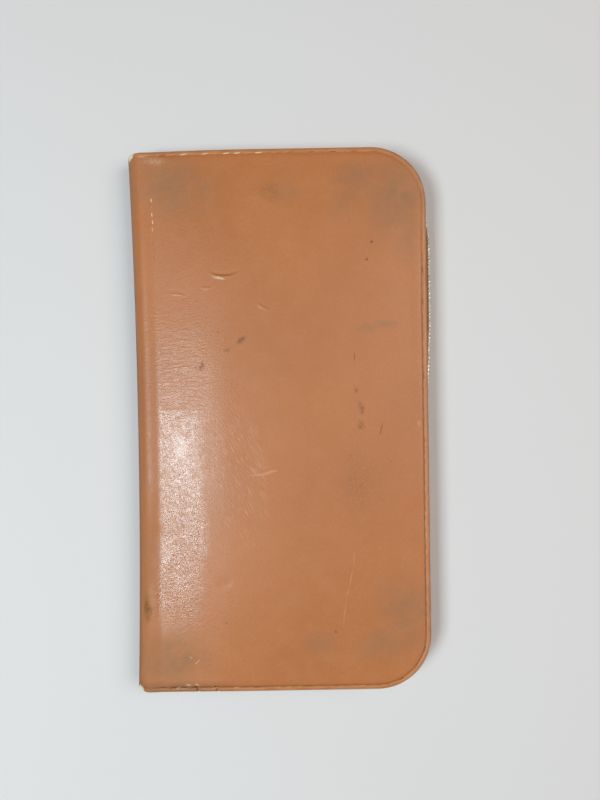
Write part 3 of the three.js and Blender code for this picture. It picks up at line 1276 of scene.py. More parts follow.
class ThreadFinish:
    """Waxed linen thread, brown with grime where it isn't rubbed pale."""

    GRIMY: Colour = (0.27, 0.095, 0.03)
    WAXED: Colour = (0.52, 0.235, 0.085)
    PALE: Colour = (0.8, 0.53, 0.31)
    FIBRES: Lumps = Lumps(2600, 2)
    FIBRE_TINT: float = 0.25
    DARKENING: float = 0.12
    WAX_SHOWS: Span = (0.0, 0.5)
    PALE_SHOWS: Span = (0.45, 0.9)
    ROUGHNESS: float = 0.66
    FIBRE_ROUGHNESS: float = 0.2
    RELIEF: float = 0.08 * MM
    SPECULAR: float = 0.2

    def material(self) -> bpy.types.Material:
        """Builds the material.

        Returns:
            The finished thread.
        """
        bench = Bench("waxed_thread")
        fibres = bench.grain(bench.place(), self.FIBRES)
        tint = bench.attribute("tint") + fibres * self.FIBRE_TINT - self.DARKENING
        colour = bench.mix(tint.step(*self.WAX_SHOWS), self.GRIMY, self.WAXED)
        colour = bench.mix(tint.step(*self.PALE_SHOWS), colour, self.PALE)
        roughness = self.ROUGHNESS + fibres * self.FIBRE_ROUGHNESS
        return bench.shade(colour, roughness, fibres, self.RELIEF, {"Specular IOR Level": self.SPECULAR})


class TapeFinish:
    """Brown cotton tape in a plain weave, which follows the tape's length."""

    BROWN: Colour = (0.4, 0.19, 0.07)
    SHADED: Colour = (0.19, 0.085, 0.032)
    THREAD: float = 0.42 * MM
    LINT: Lumps = Lumps(700)
    WEAVE_TINT: float = 0.6
    LINT_TINT: float = 0.3
    ROUGHNESS: float = 0.85
    LINT_ROUGHNESS: float = 0.1
    RELIEF: float = 0.12 * MM
    SHEEN: float = 0.08

    def material(self) -> bpy.types.Material:
        """Builds the material.

        Returns:
            The finished tape.
        """
        bench = Bench("woven_tape")
        along, across, _ = bench.split(bench.node("ShaderNodeUVMap", {"uv_map": "weave"}))
        turns = math.pi / self.THREAD
        weave = (across * turns).sine() * (along * turns).sine() * 0.5 + 0.5
        lint = bench.grain(bench.place(), self.LINT)
        colour = bench.mix(weave * self.WEAVE_TINT + lint * self.LINT_TINT, self.SHADED, self.BROWN)
        roughness = self.ROUGHNESS + lint * self.LINT_ROUGHNESS
        return bench.shade(colour, roughness, weave, self.RELIEF, {"Sheen Weight": self.SHEEN})


@dataclass(frozen=True)
class MetalFinish:
    """Bare white metal, dulled by handling."""

    name: str
    clean: Colour = (0.84, 0.77, 0.66)
    dull: Colour = (0.58, 0.5, 0.39)
    roughness: float = 0.42
    tarnish: Lumps = Lumps(420, 4, 0.65)
    tarnish_shows: Span = (0.35, 0.7)
    tarnish_roughness: float = 0.2
    wear: Lumps = Lumps(3200, 2)
    wear_roughness: float = 0.08
    relief: float = 0.02 * MM
    metallic: float = 0.92

    def material(self) -> bpy.types.Material:
        """Builds the material.

        Returns:
            The finished metal.
        """
        bench = Bench(self.name)
        place = bench.place()
        tarnish = bench.grain(place, self.tarnish).step(*self.tarnish_shows)
        wear = bench.grain(place, self.wear)
        colour = bench.mix(tarnish, self.clean, self.dull)
        roughness = self.roughness + tarnish * self.tarnish_roughness + wear * self.wear_roughness
        return bench.shade(colour, roughness, wear, self.relief, {"Metallic": self.metallic})


@dataclass
class LeatherCover:
    """The cover: one hide cut flat, turned in at its edges and folded round the spine."""

    form: CaseForm
    leather: float = 1.8 * MM
    pared: float = 1.1 * MM
    paring: Span = (4 * MM, 9 * MM)
    fold_radius: float = 1.3 * MM
    fold_steps: int = 6
    rim_rise: float = 0.12 * MM
    rim_width: float = 0.9 * MM
    rim_loops: tuple[float, ...] = (0.35, 0.7, 0.95, 1.15, 1.3, 1.45, 1.65, 1.95, 2.4, 3.2, 4.6, 6.6)
    hem: float = 6.6 * MM
    hem_rise: float = 0.15 * MM
    hem_start: float = 4 * MM
    hem_fade: Span = (9 * MM, 5 * MM)
    spacing: float = 1.6 * MM
    side_spacings: int = 10
    corner_steps: int = 26
    groove_inset: float = 2.6 * MM
    groove_depth: float = 0.32 * MM
    groove_width: float = 0.42 * MM
    groove_fade: float = 14 * MM
    groove_shallow: float = 0.35
    groove_reach: Span = (85 * MM, 45 * MM)
    dip_depth: float = 0.45 * MM
    dip_start: float = -2.5 * MM
    dip_foot: float = 5 * MM
    dip_fade: Span = (8 * MM, 45 * MM)
    wave_height: float = 0.32 * MM
    wave_calm: Span = (5 * MM, 22 * MM)
    waves: tuple[float, float, float] = (21, 14, 3.7)
    ripples: tuple[float, float, float] = (75, 58, 8.1)
    ripple_share: float = 0.22
    crack_depth: float = 0.7 * MM
    crack_width: float = 0.4 * MM
    crack_fade: Span = (3.4 * MM, 2.4 * MM)
    crack_margin: float = 3.5 * MM
    crease_margin: float = 3 * MM
    fine_cuts: int = 3

    @property
    def half_width(self) -> float:
        """Half the hide's width between the starts of its folded edges."""
        return self.form.half_arc + self.form.width - self.form.spine_radius - self.fold_radius

    @property
    def half_height(self) -> float:
        """Half the hide's length between the starts of its folded edges."""
        return self.form.half_length - self.fold_radius

    @property
    def round_radius(self) -> float:
        """Radius of the hide's corners at the start of its folded edges."""
        return self.form.corner_radius - self.fold_radius

    @property
    def turned(self) -> float:
        """Leather past the start of a folded edge: round the fold and in under the panel."""
        return math.pi * self.fold_radius + self.hem

    @property
    def cut_size(self) -> tuple[float, float]:
        """Width and length of the hide as it was cut."""
        return 2 * (self.half_width + self.turned), 2 * (self.half_height + self.turned)

    @property
    def cut_area(self) -> float:
        """Area of the hide as it was cut, with its rounded corners."""
        width, length = self.cut_size
        return width * length - (4 - math.pi) * (self.round_radius + self.turned) ** 2

    def loops(self) -> list[float]:
        """Where the lines of vertices along the folded edge lie.

        Returns:
            The distance of each line in from the start of the fold, below 0 round the fold.
        """
        round_fold = [
            -math.pi * self.fold_radius * (1 - step / self.fold_steps) for step in range(self.fold_steps + 1)
        ]
        return round_fold + [value * MM for value in self.rim_loops]

    def cut_hide(self) -> bmesh.types.BMesh:
        """Cuts the flat hide, with lines of vertices along its edges and a grid inside.

        Returns:
            The flat hide: X across the case from the spine's middle, Y along the spine.
        """
        hide = bmesh.new()
        width, length = self.cut_size
        bmesh.ops.create_grid(hide, x_segments=1, y_segments=1, size=0.5)
        bmesh.ops.scale(hide, vec=(width, length, 1), verts=hide.verts)
        bmesh.ops.bevel(
            hide, geom=hide.verts[:], offset=self.round_radius + self.turned, offset_type="OFFSET",
            segments=self.corner_steps, profile=0.5, affect="VERTICES", material=-1,
        )
        for edge in [edge for edge in hide.edges if edge.calc_length() > self.side_spacings * self.spacing]:
            cuts = round(edge.calc_length() / self.spacing) - 1
            bmesh.ops.bisect_edges(hide, edges=[edge], cuts=cuts)
        middle = hide.faces[:][0]
        reached = -self.turned
        for loop in self.loops():
            bmesh.ops.inset_region(
                hide, faces=[middle], thickness=loop - reached, use_boundary=True, use_even_offset=True
            )
            reached = loop
        self.fill_middle(hide, middle)
        return hide

    def fill_middle(self, hide: bmesh.types.BMesh, middle: bmesh.types.BMFace) -> None:
        """Replaces the hide's middle face by a grid that joins its opposite sides.

        Args:
            hide: The flat hide.
            middle: The face inside the lines along its edges.
        """
        rim = [loop.edge for loop in middle.loops]
        slope = (self.half_height - self.round_radius) - (self.half_width - self.round_radius)
        sides = []
        for edge in rim:
            centre = (edge.verts[0].co + edge.verts[1].co) / 2
            if abs(centre.y) - abs(centre.x) < slope:
                sides.append(edge)
        bmesh.ops.delete(hide, geom=[middle], context="FACES_ONLY")
        made = bmesh.ops.grid_fill(hide, edges=sides, use_interp_simple=True)["faces"]
        bmesh.ops.reverse_faces(hide, faces=[face for face in made if face.normal.z < 0])

    def inward(self, u: float, v: float) -> tuple[float, Vector, Vector]:
        """How far in a flat point lies from the start of the folded edge.

        Args:
            u: Across the hide from the spine's middle.
            v: Along the spine.

        Returns:
            The distance in, the nearest point of that line, and the way out there.
        """
        core_u = self.half_width - self.round_radius
        core_v = self.half_height - self.round_radius
        past = Vector((max(0.0, abs(u) - core_u), max(0.0, abs(v) - core_v)))
        signs = Vector((math.copysign(1, u), math.copysign(1, v)))
        if past.x > 0 and past.y > 0:
            outward = past.normalized()
            near = Vector((core_u, core_v)) + outward * self.round_radius
            inside = self.round_radius - past.length
        elif self.half_width - abs(u) < self.half_height - abs(v):
            outward = Vector((1, 0))
            near = Vector((self.half_width, abs(v)))
            inside = self.half_width - abs(u)
        else:
            outward = Vector((0, 1))
            near = Vector((abs(u), self.half_height))
            inside = self.half_height - abs(v)
        return inside, near * signs, outward * signs

    def edge_lift(self, inset: float, v: float) -> float:
        """Height of the leather over the panel's surface near its edge.

        Args:
            inset: Distance in from the folded edge.
            v: Along the spine.

        Returns:
            The lift: a rounded rim, a stitched groove and the swell of the hem underneath.
        """
        pulled = self.groove_shallow + (1 - self.groove_shallow) * ease(v, *self.groove_reach)
        groove = self.groove_depth * pulled * swell(inset - self.groove_inset, self.groove_width)
        rim = self.rim_rise * swell(inset - self.fold_radius, self.rim_width)
        hem = self.hem_rise * ease(inset, *self.hem_fade) * ease(inset, self.groove_inset, self.hem_start)
        return rim + hem - groove

    def wear(self, point: Vector, inset: float) -> float:
        """Height that use has added to the front panel at a point.

        Args:
            point: The point in the case's frame.
            inset: Distance in from the folded edge.

        Returns:
            The height: slow waves, creases and the cracks in the rim.
        """
        ripples = self.ripple_share * self.unevenness(point, self.ripples)
        uneven = self.unevenness(point, self.waves) + ripples
        height = ease(inset, *self.wave_calm) * self.wave_height * uneven
        for crease in CREASES:
            height += crease.height(point)
        for crack in RIM_CRACKS.marks:
            offset = point.xy - Vector((crack.x, crack.y)) * MM
            offset.rotate(Matrix.Rotation(math.radians(-crack.turn), 2))
            height -= self.crack_depth * swell(offset.x, self.crack_width) * ease(inset, *self.crack_fade)
        return height

    def unevenness(self, point: Vector, pattern: tuple[float, float, float]) -> float:
        """A slow random height at a point.

        Args:
            point: The point in the case's frame.
            pattern: Lumps to a metre across and along the case, and the slice of the noise that is used.

        Returns:
            A number from about -1 to 1.
        """
        across, along, level = pattern
        return noise.noise(Vector((point.x * across, point.y * along, level)))

    def fold(self, u: float, v: float) -> tuple[Vector, float]:
        """Folds a point of the flat hide to its place on the case.

        Args:
            u: Across the hide from the spine's middle.
            v: Along the spine.

        Returns:
            The point in the case's frame, and its distance in from the folded edge, below 0 past the fold.
        """
        inside, near, outward = self.inward(u, v)
        depth = 0.0
        inset = inside + self.fold_radius
        if inside < 0:
            angle = min(-inside / self.fold_radius, math.pi)
            under = max(0.0, -inside - math.pi * self.fold_radius)
            u, v = near + outward * (self.fold_radius * math.sin(angle) - under)
            depth = self.fold_radius * (1 - math.cos(angle))
        sewn = ease(abs(u), self.form.half_arc, self.form.half_arc + self.groove_fade)
        depth -= self.edge_lift(max(inset, 0.0), v) * ease(inside, -self.fold_radius, 0) * sewn
        return self.wrap(u, v, depth, inset), inset

    def wrap(self, u: float, v: float, depth: float, inset: float) -> Vector:
        """Wraps a point round the spine.

        Args:
            u: Across the folded hide from the spine's middle.
            v: Along the spine.
            depth: Distance below the outer surface.
            inset: Distance in from the folded edge.

        Returns:
            The point in the case's frame.
        """
        form = self.form
        past = u - form.half_arc
        if past > 0:
            x = form.spine_radius + past
            height = form.edge_depth + form.crown_rise(x, v)
            point = form.settle(x, v, height - depth - self.dip(past))
            point.z += self.wear(point, inset)
            return point
        if u < -form.half_arc:
            return form.settle(form.spine_radius - u - form.half_arc, v, max(depth, 0.0))
        angle = -past / form.spine_radius
        radius = form.spine_radius - depth - self.dip(past)
        return form.settle(
            form.spine_radius - radius * math.sin(angle), v, form.spine_radius + radius * math.cos(angle)
        )

    def dip(self, past: float) -> float:
        """Depth of the dip beside the spine, at a distance past the spine's top."""
        near, far = self.dip_fade
        return self.dip_depth * ease(past, self.dip_start, self.dip_foot) * ease(past, far, near)

    def refine(self, hide: bmesh.types.BMesh) -> None:
        """Divides the flat hide finely where the front panel is creased or cracked.

        Args:
            hide: The flat hide.
        """
        shift = self.form.half_arc - self.form.spine_radius - self.form.low.x
        marks = [(crease, crease.span / 2 * MM + self.crease_margin) for crease in CREASES]
        marks += [(crack, self.crack_margin) for crack in RIM_CRACKS.marks]
        zones = [(Vector((mark.x * MM + shift, mark.y * MM)), radius) for mark, radius in marks]
        chosen = set()
        for face in hide.faces:
            centre = face.calc_center_median().xy
            if any((centre - middle).length < radius for middle, radius in zones):
                chosen.update(face.edges)
        bmesh.ops.subdivide_edges(hide, edges=list(chosen), cuts=self.fine_cuts, use_grid_fill=True)

    def build(self, material: bpy.types.Material) -> bpy.types.Object:
        """Cuts, folds and finishes the cover.

        Args:
            material: The leather.

        Returns:
            The cover's object.
        """
        hide = self.cut_hide()
        self.refine(hide)
        inset_layer = hide.verts.layers.float.new("rim_inset")
        weight_layer = hide.verts.layers.deform.verify()
        for vert in hide.verts:
            vert.co, inset = self.fold(vert.co.x, vert.co.y)
            vert[inset_layer] = inset / MM
            vert[weight_layer][0] = ease(inset, *self.paring)
        mesh = mesh_of("leather_cover", hide)
        piece = add_piece("leather_cover", mesh, material, Slot.LEATHER, ["cover"])
        piece.vertex_groups.new(name="full_thickness")
        wall = piece.modifiers.new("leather", "SOLIDIFY")
        wall.thickness = self.leather
        wall.offset = -1
        wall.vertex_group = "full_thickness"
        wall.thickness_vertex_group = self.pared / self.leather
        self.cut_size
        self.cut_area
        return piece


@dataclass(frozen=True)
class PaleStretch:
    """A stretch of the front edge whose stitches are rubbed pale, in millimetres along the edge."""

    start: float
    end: float
    tint: float


@dataclass
class Stitching:
    """The stitches that hold the turned edges, and the short row beside the spine."""

    form: CaseForm
    cover: LeatherCover
    pitch: float = 5.15 * MM
    length: float = 3.7 * MM
    thickness: float = 0.66 * MM
    inset: float = 2.25 * MM
    sink: float = 0.13 * MM
    floor_gap: float = 0.05 * MM
    around: int = 8
    lengthwise: int = 6
    slants: Span = (4, 10)
    pale_spread: Span = (0.6, 1.25)
    front_tints: Span = (0.14, 0.5)
    back_tints: Span = (0.05, 0.35)
    spine_pitch: float = 3.55 * MM
    spine_length: float = 2.3 * MM
    spine_top: float = 109.2 * MM
    spine_past: float = 3.6 * MM
    spine_stagger: float = 0.2 * MM
    spine_sink: float = 0.12 * MM
    spine_inset: float = 60 * MM
    spine_turn: float = 94
    pale_stretches: tuple[PaleStretch, ...] = (
        PaleStretch(8, 18, 0.6),
        PaleStretch(18, 56, 0.88),
        PaleStretch(290, 368, 0.5),
        PaleStretch(466, 492, 0.45),
    )
    spine_tints: tuple[float, ...] = (1.0, 0.5, 0.95, 1.0, 0.7, 0.34, 0.3, 0.32, 0.3)

    def pattern(self, length: float) -> bpy.types.Mesh:
        """One stitch: a short, plump length of thread along X.

        Args:
            length: Its length.

        Returns:
            The stitch's mesh.
        """
        shape = bmesh.new()
        bmesh.ops.create_uvsphere(shape, u_segments=self.around, v_segments=self.lengthwise, radius=0.5)
        bmesh.ops.rotate(shape, matrix=Matrix.Rotation(math.pi / 2, 3, "Y"), verts=shape.verts)
        bmesh.ops.scale(shape, vec=(length, self.thickness, self.thickness), verts=shape.verts)
        return mesh_of("stitch", shape)

    def tint_at(self, side: Side, along: float, dice: random.Random) -> float:
        """How pale a stitch of an edge is.

        Args:
            side: The panel.
            along: Distance along the edge.
            dice: The source of small differences.

        Returns:
            A number from 0, grimy, to 1, pale.
        """
        if side is Side.BACK:
            return dice.uniform(*self.back_tints)
        for stretch in self.pale_stretches:
            if stretch.start <= along / MM <= stretch.end:
                return stretch.tint * dice.uniform(*self.pale_spread)
        return dice.uniform(*self.front_tints)

    def build_edge(self, side: Side, line: EdgeLine, material: bpy.types.Material) -> bpy.types.Object:
        """Sews one panel's edge.

        Args:
            side: The panel.
            line: The edge.
            material: The thread.

        Returns:
            The stitches' object.
        """
        dice = random.Random(side.value)
        places, tints = [], []
        count = int(line.length / self.pitch)
        for number in range(count):
            along = (number + 0.5) * line.length / count
            at, outward = line.plan(along)
            hole = at - outward * self.inset
            depth = self.sink - self.cover.edge_lift(self.inset, at.y)
            height = self.form.edge_depth + self.form.crown_rise(hole.x, hole.y) - depth
            if side is Side.BACK:
                height = max(depth, self.thickness / 2 + self.floor_gap)
            slant = Matrix.Rotation(math.radians(dice.uniform(*self.slants)), 4, "Z")
            places.append(line.frame(along, -self.inset, height) @ slant)
            tints.append(self.tint_at(side, along, dice))
        return self.finish(f"edge_stitches_{side.name.lower()}", self.length, places, tints, material)

    def build_spine_row(self, material: bpy.types.Material) -> bpy.types.Object:
        """Sews the short row beside the upper end of the spine.

        Args:
            material: The thread.

        Returns:
            The stitches' object.
        """
        places = []
        turn = Matrix.Rotation(math.radians(self.spine_turn), 4, "Z")
        for number in range(len(self.spine_tints)):
            y = self.spine_top - number * self.spine_pitch
            past = self.spine_past + self.spine_stagger * (number % 2)
            point = self.cover.wrap(self.form.half_arc + past, y, self.spine_sink, self.spine_inset)
            places.append(Matrix.Translation(point) @ turn)
        return self.finish("spine_stitches", self.spine_length, places, self.spine_tints, material)

    def finish(self, name: str, length: float, places: list[Matrix], tints: Iterable[float],
               material: bpy.types.Material) -> bpy.types.Object:
        """Joins a row of stitches and tints each of them.

        Args:
            name: The piece's name.
            length: Length of a stitch.
            places: The stitches' frames.
            tints: How pale each stitch is.
            material: The thread.

        Returns:
            The stitches' object.
        """
        pattern = self.pattern(length)
        corners = len(pattern.vertices)
        mesh = mesh_of(name, stamp(pattern, places))
        values = [tint for tint in tints for _ in range(corners)]
        mesh.attributes.new("tint", "FLOAT", "POINT").data.foreach_set("value", values)
        return add_piece(name, mesh, material, Slot.LEATHER)


@dataclass
class ZipTape:
    """A cloth tape of the zip: a hem under the turned leather edge, and a leg that runs to the teeth."""

    form: CaseForm
    line: EdgeLine
    cloth: float = 0.8 * MM
    hem: float = 7.8 * MM
    hem_drop: float = 3.4 * MM
    fold_out: float = -1.2 * MM
    leg_foot: float = 0.7 * MM
    knee_drop: float = 1.9 * MM
    tape_inside: float = 0.7 * MM
    softness: float = 0.09
    step: float = 2 * MM
    across_steps: int = 14

    @property
    def width(self) -> float:
        """Width of the flat tape."""
        return self.hem + self.fold_out + self.form.spine_radius - self.hem_drop - self.leg_foot

    def section(self, along: float, share: float) -> tuple[float, float]:
        """A point of the folded tape's section on the front side.

        Args:
            along: Distance along the edge.
            share: How far across the tape the point is, from its hem to the teeth.

        Returns:
            The distance out from the edge and the height.
        """
        chain = chain_stand(along)
        top = self.form.edge_depth - self.hem_drop
        corners = (
            Vector((-self.hem, top)),
            Vector((min(chain, self.fold_out), top)),
            Vector((chain - self.tape_inside, top - self.knee_drop)),
            Vector((chain, self.form.spine_radius + self.leg_foot)),
        )
        total = Vector((0, 0))
        shifts = (-self.softness, 0, self.softness) if self.softness < share < 1 - self.softness else (0,)
        for shift in shifts:
            place = (share + shift) * (len(corners) - 1)
            start = min(int(place), len(corners) - 2)
            total += corners[start].lerp(corners[start + 1], place - start)
        return tuple(total / len(shifts))

    def build(self, side: Side, material: bpy.types.Material) -> bpy.types.Object:
        """Weaves, folds and lays one tape.

        Args:
            side: The side of the case that it is sewn to.
            material: The cloth.

        Returns:
            The tape's object.
        """
        strip = bmesh.new()
        steps = round(self.line.length / self.step)
        bmesh.ops.create_grid(strip, x_segments=steps, y_segments=self.across_steps, size=0.5)
        weave = strip.loops.layers.uv.new("weave")
        for face in strip.faces:
            for loop in face.loops:
                flat = loop.vert.co
                loop[weave].uv = ((flat.x + 0.5) * self.line.length, (flat.y + 0.5) * self.width)
        for vert in strip.verts:
            along = (vert.co.x + 0.5) * self.line.length
            out, height = self.section(along, vert.co.y + 0.5)
            if side is Side.BACK:
                height = self.form.edge_depth - height
            vert.co = self.line.point(along, out, height)
        name = f"tape_{side.name.lower()}"
        node = f"zip_{name}"
        piece = add_piece(name, mesh_of(name, strip), material, Slot.TAPE, [node])
        wall = piece.modifiers.new("cloth", "SOLIDIFY")
        wall.thickness = self.cloth
        wall.offset = 0
        self.width
        self.line.length
        return piece


@dataclass
class ZipTeeth:
    """The two rows of metal teeth, meshed along the closed zip."""

    form: CaseForm
    line: EdgeLine
    pitch: float = 2 * MM
    tooth: float = 0.92 * MM
    clamp: float = 1.25 * MM
    depth: float = 1.7 * MM
    head: float = -0.9 * MM
    neck: float = 0.5 * MM
    root: float = 2.7 * MM
    start: float = 2 * MM
    end_gap: float = 11.5 * MM
    shoulder: float = 0.25 * MM
    rounding: float = 0.2 * MM
    sharp: float = 40
    stand: float = 0.15 * MM
    stand_spread: float = 0.03 * MM
    tilt_spread: float = 1
    upright_out: float = -1.2 * MM
    leg: float = 4.4 * MM
    lean_share: float = 0.25
    seed: int = 40

    def pattern(self) -> bpy.types.Mesh:
        """One tooth of the front row: a head that reaches past the middle and a clamp on the tape.

        Returns:
            The tooth's mesh: X along the zip, Y out of the case, Z up.
        """
        shape = bmesh.new()
        bmesh.ops.create_cube(shape, size=1)
        bmesh.ops.scale(shape, vec=(self.tooth, self.depth, self.neck - self.head), verts=shape.verts)
        bmesh.ops.translate(shape, vec=(0, 0, (self.neck + self.head) / 2), verts=shape.verts)
        top = [face for face in shape.faces if face.normal.z > 0.5]
        widening = (self.shoulder, self.clamp / self.tooth)
        clamping = (self.root - self.neck - self.shoulder, 1)
        for rise, spread in (widening, clamping):
            made = bmesh.ops.extrude_face_region(shape, geom=top)["geom"]
            bmesh.ops.delete(shape, geom=top, context="FACES_ONLY")
            top = picked(made, bmesh.types.BMFace)
            moved = picked(made, bmesh.types.BMVert)
            bmesh.ops.translate(shape, vec=(0, 0, rise), verts=moved)
            bmesh.ops.scale(shape, vec=(spread, 1, 1), verts=moved)
        level = self.rounding / 2
        ends = [edge for edge in shape.edges if abs(edge.verts[0].co.y - edge.verts[1].co.y) < level]
        round_edges(shape, ends, self.rounding, 1, clamp=True)
        bmesh.ops.recalc_face_normals(shape, faces=shape.faces)
        return mesh_of("tooth", shape, self.sharp)

    def lean(self, out: float) -> float:
        """How far a tooth leans with its tape, where the zip has sprung out past the edge.

        Args:
            out: How far the chain stands out from the edge.

        Returns:
            The lean in radians.
        """
        return self.lean_share * math.atan2(max(0.0, out - self.upright_out), self.leg)

    def places(self, side: Side) -> Iterator[Matrix]:
        """The frames of one row's teeth.

        Args:
            side: The side of the case whose row it is.

        Yields:
            A frame for each tooth, turned over for the back row.
        """
        dice = random.Random(self.seed + side.value)
        along = self.start + (0.5 * self.pitch if side is Side.BACK else 0)
        turn = Matrix.Identity(4) if side is Side.FRONT else Matrix.Rotation(math.pi, 4, "Y")
        while along < self.line.length - self.end_gap:
            tilt = Matrix.Rotation(math.radians(dice.uniform(-self.tilt_spread, self.tilt_spread)), 4, "Y")
            out = chain_stand(along) + self.stand + dice.uniform(-self.stand_spread, self.stand_spread)
            lean = Matrix.Rotation(self.lean(out) * side.value, 4, "X")
            yield self.line.frame(along, out, self.form.spine_radius) @ lean @ turn @ tilt
            along += self.pitch

    def build(self, side: Side, material: bpy.types.Material,
              stands_for: Iterable[str]) -> bpy.types.Object:
        """Makes one row of teeth.

        Args:
            side: The side of the case whose row it is.
            material: The metal.
            stands_for: The nodes that the row is shown in place of.

        Returns:
            The row's object.
        """
        name = f"teeth_{side.name.lower()}"
        mesh = mesh_of(name, stamp(self.pattern(), self.places(side)), self.sharp)
        return add_piece(name, mesh, material, Slot.TEETH, stands_for)


@dataclass
class ZipSlider:
    """The zip's slider, with its pull laid back along the teeth under the leather's edge."""

    form: CaseForm
    line: EdgeLine
    length: float = 9 * MM
    height: float = 5 * MM
    depth: float = 3.2 * MM
    plate: float = 0.75 * MM
    plate_rounding: float = 0.25 * MM
    tip_share: float = 0.3
    tip_height: float = 0.66
    flange: float = 0.6 * MM
    flange_in: float = 0.35 * MM
    flange_length: float = 0.62
    flange_middle: float = 0.64
    flange_rounding: float = 0.15 * MM
    bridge_length: float = 2.2 * MM
    bridge_height: float = 1.5 * MM
    bridge_at: float = 6.6 * MM
    bridge_rounding: float = 0.2 * MM
    bail_at: float = 2.6 * MM
    bail_sink: float = 0.2 * MM
    bail_radius: float = 1.75 * MM
    bail_wire: float = 0.42 * MM
    bail_sides: int = 10
    bail_steps: int = 12
    pull: float = 20 * MM
    pull_width: float = 4.4 * MM
    pull_depth: float = 1.1 * MM
    pull_out: float = 2.3 * MM
    pull_start: float = 5.2 * MM
    pull_rounding: float = 0.22 * MM
    pull_sides: int = 32
    slot_share: float = 0.5
    slot_short: float = 2.6
    corner_angle: float = 60
    sharp: float = 35
    end_gap: float = 2 * MM

    def frame(self) -> Matrix:
        """The slider's frame: X back along the zip, Y out of the case.

        Returns:
            The frame's matrix.
        """
        along = self.line.length - self.end_gap
        place = self.line.frame(along, chain_stand(along), self.form.spine_radius)
        return place @ Matrix.Rotation(math.pi, 4, "Y")

    def block(self, shape: bmesh.types.BMesh, size: tuple[float, float, float],
              middle: tuple[float, float, float], bevel: float) -> list[bmesh.types.BMVert]:
        """Adds a block with rounded edges.

        Args:
            shape: The bmesh that takes it.
            size: Its size along each axis.
            middle: Its middle.
            bevel: Width of the rounding.

        Returns:
            The block's vertices.
        """
        verts = bmesh.ops.create_cube(shape, size=1)["verts"]
        bmesh.ops.scale(shape, vec=size, verts=verts)
        bmesh.ops.translate(shape, vec=middle, verts=verts)
        edges = list({edge for vert in verts for edge in vert.link_edges})
        return round_edges(shape, edges, bevel)

    def body(self) -> bmesh.types.BMesh:
        """Two shield-shaped plates, the bridge between them, their side flanges and the bail.

        Returns:
            The slider in its own frame.
        """
        shape = bmesh.new()
        plate_size = (self.length, self.plate, self.height)
        flange_size = (self.flange_length * self.length, self.depth / 2, self.flange)
        bridge_size = (self.bridge_length, self.depth - self.plate, self.bridge_height)
        out = (self.depth - self.plate) / 2
        flange_up = self.height / 2 - self.flange_in
        for side in (-1, 1):
            plate = self.block(shape, plate_size, (self.length / 2, side * out, 0), self.plate_rounding)
            tip = [vert for vert in plate if vert.co.x < self.tip_share * self.length]
            bmesh.ops.scale(shape, vec=(1, 1, self.tip_height), verts=tip)
            flange_at = (self.flange_middle * self.length, side * self.depth / 4, side * flange_up)
            self.block(shape, flange_size, flange_at, self.flange_rounding)
        self.block(shape, bridge_size, (self.bridge_at, 0, 0), self.bridge_rounding)
        self.bend_bail(shape)
        bmesh.ops.recalc_face_normals(shape, faces=shape.faces)
        return shape

    def bend_bail(self, shape: bmesh.types.BMesh) -> None:
        """Adds the bail that holds the pull: a wire bent over the outer plate.

        Args:
            shape: The bmesh that takes it.
        """
        foot = Vector((self.bail_at, self.depth / 2 - self.bail_sink, 0))
        ring = bmesh.ops.create_circle(shape, segments=self.bail_sides, radius=self.bail_wire)["verts"]
        bmesh.ops.rotate(shape, matrix=Matrix.Rotation(math.pi / 2, 3, "X"), verts=ring)
        bmesh.ops.translate(shape, vec=foot, verts=ring)
        edges = list({edge for vert in ring for edge in vert.link_edges})
        middle = foot + Vector((self.bail_radius, 0, 0))
        bmesh.ops.spin(
            shape, geom=ring + edges, cent=middle, axis=(0, 0, -1), angle=math.pi, steps=self.bail_steps
        )
        bmesh.ops.holes_fill(shape, edges=[edge for edge in shape.edges if edge.is_boundary])

    def tab(self) -> bmesh.types.BMesh:
        """The pull: a flat tab with round ends and a long slot.

        Returns:
            The pull in the slider's frame.
        """
        shape = bmesh.new()
        half = self.pull_width / 2
        slot = half * self.slot_share
        outer = bmesh.ops.create_circle(shape, segments=self.pull_sides, radius=half)["verts"]
        inner = bmesh.ops.create_circle(shape, segments=self.pull_sides, radius=slot)["verts"]
        bmesh.ops.bridge_loops(shape, edges=shape.edges[:])
        for ring, stretch in ((outer, self.pull - half), (inner, self.pull - self.slot_short * half)):
            far = [vert for vert in ring if vert.co.x > TINY]
            bmesh.ops.translate(shape, vec=(stretch, 0, 0), verts=far)
        made = bmesh.ops.extrude_face_region(shape, geom=shape.faces[:])["geom"]
        bmesh.ops.translate(shape, vec=(0, 0, self.pull_depth), verts=picked(made, bmesh.types.BMVert))
        bmesh.ops.recalc_face_normals(shape, faces=shape.faces)
        steepest = math.radians(self.corner_angle)
        corners = [edge for edge in shape.edges if edge.calc_face_angle(0) > steepest]
        round_edges(shape, corners, self.pull_rounding)
        bmesh.ops.rotate(shape, matrix=Matrix.Rotation(-math.pi / 2, 3, "X"), verts=shape.verts)
        bmesh.ops.translate(shape, vec=(self.pull_start, self.pull_out, 0), verts=shape.verts)
        return shape

    def build(self, material: bpy.types.Material) -> list[bpy.types.Object]:
        """Makes the slider and its pull.

        Args:
            material: The metal.

        Returns:
            The two objects.
        """
        pieces = []
        for name, shape in (("slider_body", self.body()), ("slider_pull", self.tab())):
            bmesh.ops.transform(shape, matrix=self.frame(), verts=shape.verts)
            stands_for = ["zip_slider"] if name == "slider_body" else []
            mesh = mesh_of(name, shape, self.sharp)
            pieces.append(add_piece(name, mesh, material, Slot.SLIDER, stands_for))
        return pieces


